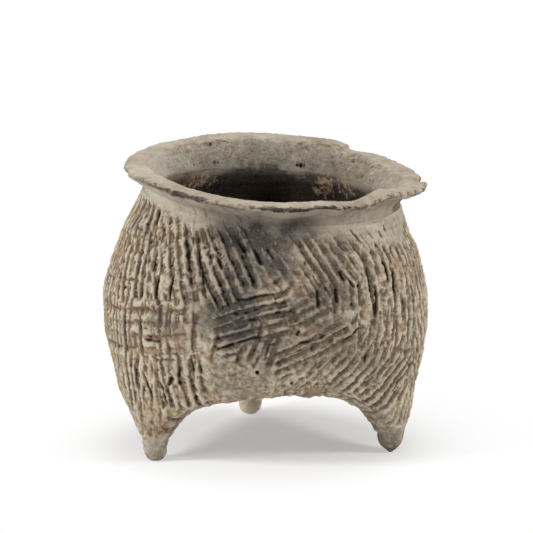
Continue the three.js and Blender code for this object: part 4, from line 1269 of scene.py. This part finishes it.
    # Hollows are painted darker: partly dirt, partly painted shade
    grooved = blend(ramp(level, 0.03, -0.42, 300, x=-400), rusty, start.outputs["Groove"], 250, 380)
    onCrest = ramp(level, 0.25, 0.6, 180, 1.0, 0.72, x=-400)
    sootEdge = calculate("MULTIPLY", sootAndShade, ramp(mottle, 0.2, 0.6, 250, 0.6, 1.0), 100, 150)
    sootFilm = calculate("MULTIPLY", sootEdge, onCrest, 200, 150)
    smoked = blend(sootFilm, grooved, start.outputs["Smoke"], 400, 340)
    burnt = blend(ramp(sootAndShade, 1.05, 1.8, 0), smoked, (0.03, 0.0195, 0.013, 1), 480, 340)
    ragged = calculate("MULTIPLY_ADD", texture(420, 4, 0.7, 1050), 1.6, -900, 100)
    ragged.node.inputs[2].default_value = -0.8
    crust = ramp(calculate("ADD", ochre, ragged, -700, 60), 0.5, 1.0, 60)
    crusted = blend(crust, burnt, (0.42, 0.285, 0.175, 1), 520, 340)
    # The deepest cuts and slits are painted nearly black as painted shade
    slit = blend(ramp(level, -0.64, -1.12, 200, x=-400), crusted, start.outputs["Slit"], 320, 380)
    sanded = calculate("MULTIPLY_ADD", fineSand, 1.5, -500, 1000)
    sanded.node.inputs[2].default_value = 0.5
    grey = node(tree, "ShaderNodeCombineColor", (-300, 1000))
    for channel in range(3):
        link(sanded, grey.inputs[channel])
    gritty = node(tree, "ShaderNodeMix", (540, 340), data_type="RGBA", blend_type="MULTIPLY")
    gritty.inputs["Factor"].default_value = 0.6
    link(slit, gritty.inputs[6])
    link(grey.outputs[0], gritty.inputs[7])
    clean = ramp(sootAndShade, 0.3, 1.0, -150, 1.0, 0.0)
    pale = calculate("MULTIPLY", speckle, isPale, -500, -650)
    dark = calculate("MULTIPLY", speckle, isDark, -500, -850)
    paleShare = calculate("MULTIPLY", pale, calculate("MULTIPLY", clean, 0.36, -450, -600), -350, -650)
    paleSpeck = blend(paleShare, gritty.outputs[2], (0.56, 0.49, 0.38, 1), 560, 300)
    darkSpeck = blend(calculate("MULTIPLY", dark, 0.6, -350, -850), paleSpeck, (0.03, 0.024, 0.018, 1), 720,
                      260)
    dust = blend(ramp(fineSand, 0.45, 0.8, 300, 0.0, 0.2), darkSpeck, (0.45, 0.39, 0.3, 1), 880, 220)
    link(dust, finish.inputs["Color"])
    link(ramp(mottle, 0.2, 0.8, -100, 0.82, 0.97), finish.inputs["Roughness"])
    grain = calculate("MULTIPLY", fineSand, 1.2, 200, -300)
    bumps = calculate("ADD", grain, calculate("MULTIPLY", mottle, 1.2, 200, -450), 400, -350)
    sandy = calculate("ADD", bumps, calculate("MULTIPLY", pale, 0.8, 200, -600), 600, -350)
    link(sandy, finish.inputs["Height"])
    return tree


clay = clayGroup()


def clayMaterial(name, colors, strength):
    material = bpy.data.materials.new(name)
    material.use_nodes = True
    tree = material.node_tree
    tree.nodes.clear()
    out = node(tree, "ShaderNodeOutputMaterial", (600, 0))
    surface = node(tree, "ShaderNodeBsdfPrincipled", (300, 0))
    group = node(tree, "ShaderNodeGroup", (-100, 0), node_tree=clay)
    for label, value in colors.items():
        group.inputs[label].default_value = value
    bumpNode = node(tree, "ShaderNodeBump", (100, -250))
    bumpNode.inputs["Strength"].default_value = strength
    bumpNode.inputs["Distance"].default_value = 0.001
    tree.links.new(group.outputs["Color"], surface.inputs["Base Color"])
    tree.links.new(group.outputs["Roughness"], surface.inputs["Roughness"])
    tree.links.new(group.outputs["Height"], bumpNode.inputs["Height"])
    tree.links.new(bumpNode.outputs["Normal"], surface.inputs["Normal"])
    surface.inputs["Specular IOR Level"].default_value = 0.25
    tree.links.new(surface.outputs["BSDF"], out.inputs["Surface"])
    return material


finishes = {
    "cordMarked": clayMaterial("cordMarkedClay", {}, 1.0),
    "pale": clayMaterial("paleClay", {"Body": (0.68, 0.57, 0.43, 1), "Crest": (0.74, 0.64, 0.49, 1),
                                      "Uneven": 0.2, "Rust": 0.0}, 0.4),
    "pressed": clayMaterial("pressedClay", {"Body": (0.29, 0.235, 0.17, 1)}, 0.45),
}
finishOf = {"rim_clay": "cordMarked", "neck_clay": "cordMarked", "wall_clay": "cordMarked",
            "pouch_clay": "cordMarked",
            "foot_clay": "cordMarked", "pale_foot_clay": "pale", "strip_clay": "pressed"}
for piece in pieces:
    piece.data.materials.append(finishes[finishOf[slotOf[piece.name]]])
print("stage: materials")


# Sand grains that stand out of the clay, scattered by Geometry Nodes
def grainTree():
    tree = bpy.data.node_groups.new("sandGrains", "GeometryNodeTree")
    face = tree.interface
    face.new_socket("Geometry", in_out="INPUT", socket_type="NodeSocketGeometry")
    for name, kind, default in [("Density", "NodeSocketFloat", 6000.0),
                                ("Smallest", "NodeSocketFloat", 0.0003),
                                ("Largest", "NodeSocketFloat", 0.0007), ("Seed", "NodeSocketInt", 1)]:
        face.new_socket(name, in_out="INPUT", socket_type=kind).default_value = default
    face.new_socket("Material", in_out="INPUT", socket_type="NodeSocketMaterial")
    face.new_socket("Geometry", in_out="OUTPUT", socket_type="NodeSocketGeometry")
    start = node(tree, "NodeGroupInput", (-900, 0))
    finish = node(tree, "NodeGroupOutput", (900, 0))
    link = tree.links.new
    shown = node(tree, "GeometryNodeInputNamedAttribute", (-900, -300), data_type="FLOAT")
    shown.inputs["Name"].default_value = "outside"
    density = node(tree, "ShaderNodeMath", (-700, -200), operation="MULTIPLY")
    link(start.outputs["Density"], density.inputs[0])
    link(shown.outputs["Attribute"], density.inputs[1])
    scatter = node(tree, "GeometryNodeDistributePointsOnFaces", (-500, 0))
    link(start.outputs["Geometry"], scatter.inputs["Mesh"])
    link(density.outputs[0], scatter.inputs["Density"])
    link(start.outputs["Seed"], scatter.inputs["Seed"])
    grain = node(tree, "GeometryNodeMeshIcoSphere", (-500, -300))
    grain.inputs["Radius"].default_value = 1.0
    grain.inputs["Subdivisions"].default_value = 1
    size = node(tree, "FunctionNodeRandomValue", (-300, -300), data_type="FLOAT_VECTOR")
    spin = node(tree, "FunctionNodeRandomValue", (-300, -500), data_type="FLOAT_VECTOR")
    spin.inputs[0].default_value = (0, 0, 0)
    spin.inputs[1].default_value = (turn, turn, turn)
    for label, at in (("Smallest", 0), ("Largest", 1)):
        join = node(tree, "ShaderNodeCombineXYZ", (-500, -500 - 120 * at))
        for axis in range(3):
            link(start.outputs[label], join.inputs[axis])
        link(join.outputs[0], size.inputs[at])
    copies = node(tree, "GeometryNodeInstanceOnPoints", (0, 0))
    link(scatter.outputs["Points"], copies.inputs["Points"])
    link(grain.outputs["Mesh"], copies.inputs["Instance"])
    link(size.outputs[0], copies.inputs["Scale"])
    link(spin.outputs[0], copies.inputs["Rotation"])
    real = node(tree, "GeometryNodeRealizeInstances", (250, 0))
    paint = node(tree, "GeometryNodeSetMaterial", (500, 0))
    link(copies.outputs["Instances"], real.inputs["Geometry"])
    link(real.outputs["Geometry"], paint.inputs["Geometry"])
    link(start.outputs["Material"], paint.inputs["Material"])
    link(paint.outputs["Geometry"], finish.inputs["Geometry"])
    return tree


def grainMaterial():
    material = bpy.data.materials.new("sandGrain")
    material.use_nodes = True
    tree = material.node_tree
    surface = tree.nodes["Principled BSDF"]
    place = node(tree, "ShaderNodeTexCoord", (-900, 0))
    kind = node(tree, "ShaderNodeTexVoronoi", (-700, 0))
    kind.inputs["Scale"].default_value = 260
    ramp = node(tree, "ShaderNodeValToRGB", (-300, 0))
    stops = [(0.0, (0.05, 0.04, 0.03, 1)), (0.3, (0.2, 0.155, 0.11, 1)), (0.7, (0.34, 0.275, 0.2, 1)),
             (0.97, (0.38, 0.32, 0.245, 1))]
    ramp.color_ramp.elements[0].color = stops[0][1]
    ramp.color_ramp.elements[1].position, ramp.color_ramp.elements[1].color = stops[-1]
    for position, color in stops[1:-1]:
        ramp.color_ramp.elements.new(position).color = color
    split = node(tree, "ShaderNodeSeparateColor", (-500, 0))
    tree.links.new(place.outputs["Object"], kind.inputs["Vector"])
    tree.links.new(kind.outputs["Color"], split.inputs["Color"])
    tree.links.new(split.outputs["Red"], ramp.inputs["Fac"])
    tree.links.new(ramp.outputs["Color"], surface.inputs["Base Color"])
    surface.inputs["Roughness"].default_value = 0.7
    return material


grains = {"tree": grainTree(), "material": grainMaterial(), "density": 14000.0, "smallest": 0.0002,
          "largest": 0.00045, "firstSeed": 3}


def scatterGrains(piece, seed):
    source = piece.copy()
    source.data = piece.data.copy()
    bpy.context.scene.collection.objects.link(source)
    modifier = source.modifiers.new("grains", "NODES")
    modifier.node_group = grains["tree"]
    values = {"Density": grains["density"], "Smallest": grains["smallest"], "Largest": grains["largest"],
              "Seed": seed, "Material": grains["material"]}
    for item in grains["tree"].interface.items_tree:
        if item.item_type == "SOCKET" and item.in_out == "INPUT" and item.name in values:
            modifier[item.identifier] = values[item.name]
    graph = bpy.context.evaluated_depsgraph_get()
    mesh = bpy.data.meshes.new_from_object(source.evaluated_get(graph))
    bpy.data.objects.remove(source)
    made = bpy.data.objects.new("grains_" + piece.name, mesh)
    bpy.context.scene.collection.objects.link(made)
    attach(made, "root")


sandy = [piece for piece in pieces if piece.name in ("wall", "neck") or piece.name.startswith("pouch")]
for seed, piece in enumerate(sandy):
    scatterGrains(piece, seed + grains["firstSeed"])
print("stage: grains")


# The stage: a pale floor that turns to white away from the pot, soft lamps and the photograph's camera
def makeFloor():
    bpy.ops.mesh.primitive_circle_add(vertices=96, radius=6.0, fill_type="NGON")
    floor = bpy.context.object
    floor.name = "floor"
    material = bpy.data.materials.new("floorPale")
    material.use_nodes = True
    tree = material.node_tree
    tree.nodes.clear()
    out = node(tree, "ShaderNodeOutputMaterial", (600, 0))
    paint = node(tree, "ShaderNodeBsdfDiffuse", (0, 100))
    paint.inputs["Color"].default_value = (0.86, 0.86, 0.86, 1)
    white = node(tree, "ShaderNodeEmission", (0, -100))
    white.inputs["Color"].default_value = (1, 1, 1, 1)
    place = node(tree, "ShaderNodeTexCoord", (-800, 0))
    length = node(tree, "ShaderNodeVectorMath", (-600, 0), operation="LENGTH")
    fade = node(tree, "ShaderNodeMapRange", (-400, 0), interpolation_type="SMOOTHSTEP")
    fade.inputs["From Min"].default_value = 0.04
    fade.inputs["From Max"].default_value = 0.15
    fade.inputs["To Min"].default_value = 0.35
    path = node(tree, "ShaderNodeLightPath", (-400, -300))
    seen = node(tree, "ShaderNodeMath", (-150, -100), operation="MULTIPLY")
    join = node(tree, "ShaderNodeMixShader", (300, 0))
    tree.links.new(place.outputs["Object"], length.inputs[0])
    tree.links.new(length.outputs["Value"], fade.inputs["Value"])
    tree.links.new(fade.outputs["Result"], seen.inputs[0])
    tree.links.new(path.outputs["Is Camera Ray"], seen.inputs[1])
    tree.links.new(seen.outputs[0], join.inputs["Fac"])
    tree.links.new(paint.outputs["BSDF"], join.inputs[1])
    tree.links.new(white.outputs["Emission"], join.inputs[2])
    tree.links.new(join.outputs["Shader"], out.inputs["Surface"])
    floor.data.materials.append(material)


def makeWorld():
    world = bpy.data.worlds.new("studio")
    bpy.context.scene.world = world
    world.use_nodes = True
    tree = world.node_tree
    tree.nodes.clear()
    out = node(tree, "ShaderNodeOutputWorld", (600, 0))
    soft = node(tree, "ShaderNodeBackground", (0, 100))
    soft.inputs["Color"].default_value = (1, 1, 1, 1)
    soft.inputs["Strength"].default_value = 0.3
    white = node(tree, "ShaderNodeBackground", (0, -100))
    white.inputs["Color"].default_value = (1, 1, 1, 1)
    path = node(tree, "ShaderNodeLightPath", (-200, 300))
    join = node(tree, "ShaderNodeMixShader", (300, 0))
    tree.links.new(path.outputs["Is Camera Ray"], join.inputs["Fac"])
    tree.links.new(soft.outputs["Background"], join.inputs[1])
    tree.links.new(white.outputs["Background"], join.inputs[2])
    tree.links.new(join.outputs["Shader"], out.inputs["Surface"])


def makeLamp(name, place, size, power, target=(0, 0, 0.07)):
    data = bpy.data.lights.new(name, "AREA")
    data.shape = "DISK"
    data.size = size
    data.energy = power
    lamp = bpy.data.objects.new(name, data)
    lamp.location = place
    lamp.rotation_euler = (Vector(target) - Vector(place)).to_track_quat("-Z", "Y").to_euler()
    bpy.context.scene.collection.objects.link(lamp)


makeFloor()
makeWorld()
makeLamp("keyLeft", (-1.15, -0.5, 0.85), 0.34, 16)
makeLamp("fillRight", (1.2, -0.45, 0.75), 0.34, 12)
makeLamp("topBack", (0.05, 0.25, 1.25), 0.7, 8)

# The photograph was taken a little from above, with a long lens
shot = {"elevation": 11.0, "distance": 1.5, "scale": 0.494, "target": (0.0007, 0.0, 0.0867), "pixels": 533}
tilt = math.radians(shot["elevation"])
target = Vector(shot["target"]) + Vector(axisShift * metre)
forward = Vector((0, math.cos(tilt), -math.sin(tilt)))
cameraData = bpy.data.cameras.new("photoCamera")
cameraData.sensor_width = 36
focal = shot["distance"] / (shot["scale"] * metre) / shot["pixels"]
cameraData.lens = focal * cameraData.sensor_width
cameraData.clip_start, cameraData.clip_end = 0.1, 20
camera = bpy.data.objects.new("photoCamera", cameraData)
camera.location = target - forward * shot["distance"]
camera.rotation_euler = forward.to_track_quat("-Z", "Y").to_euler()
bpy.context.scene.collection.objects.link(camera)
bpy.context.scene.camera = camera
bpy.context.scene.view_settings.view_transform = "Standard"

print("stage: done")
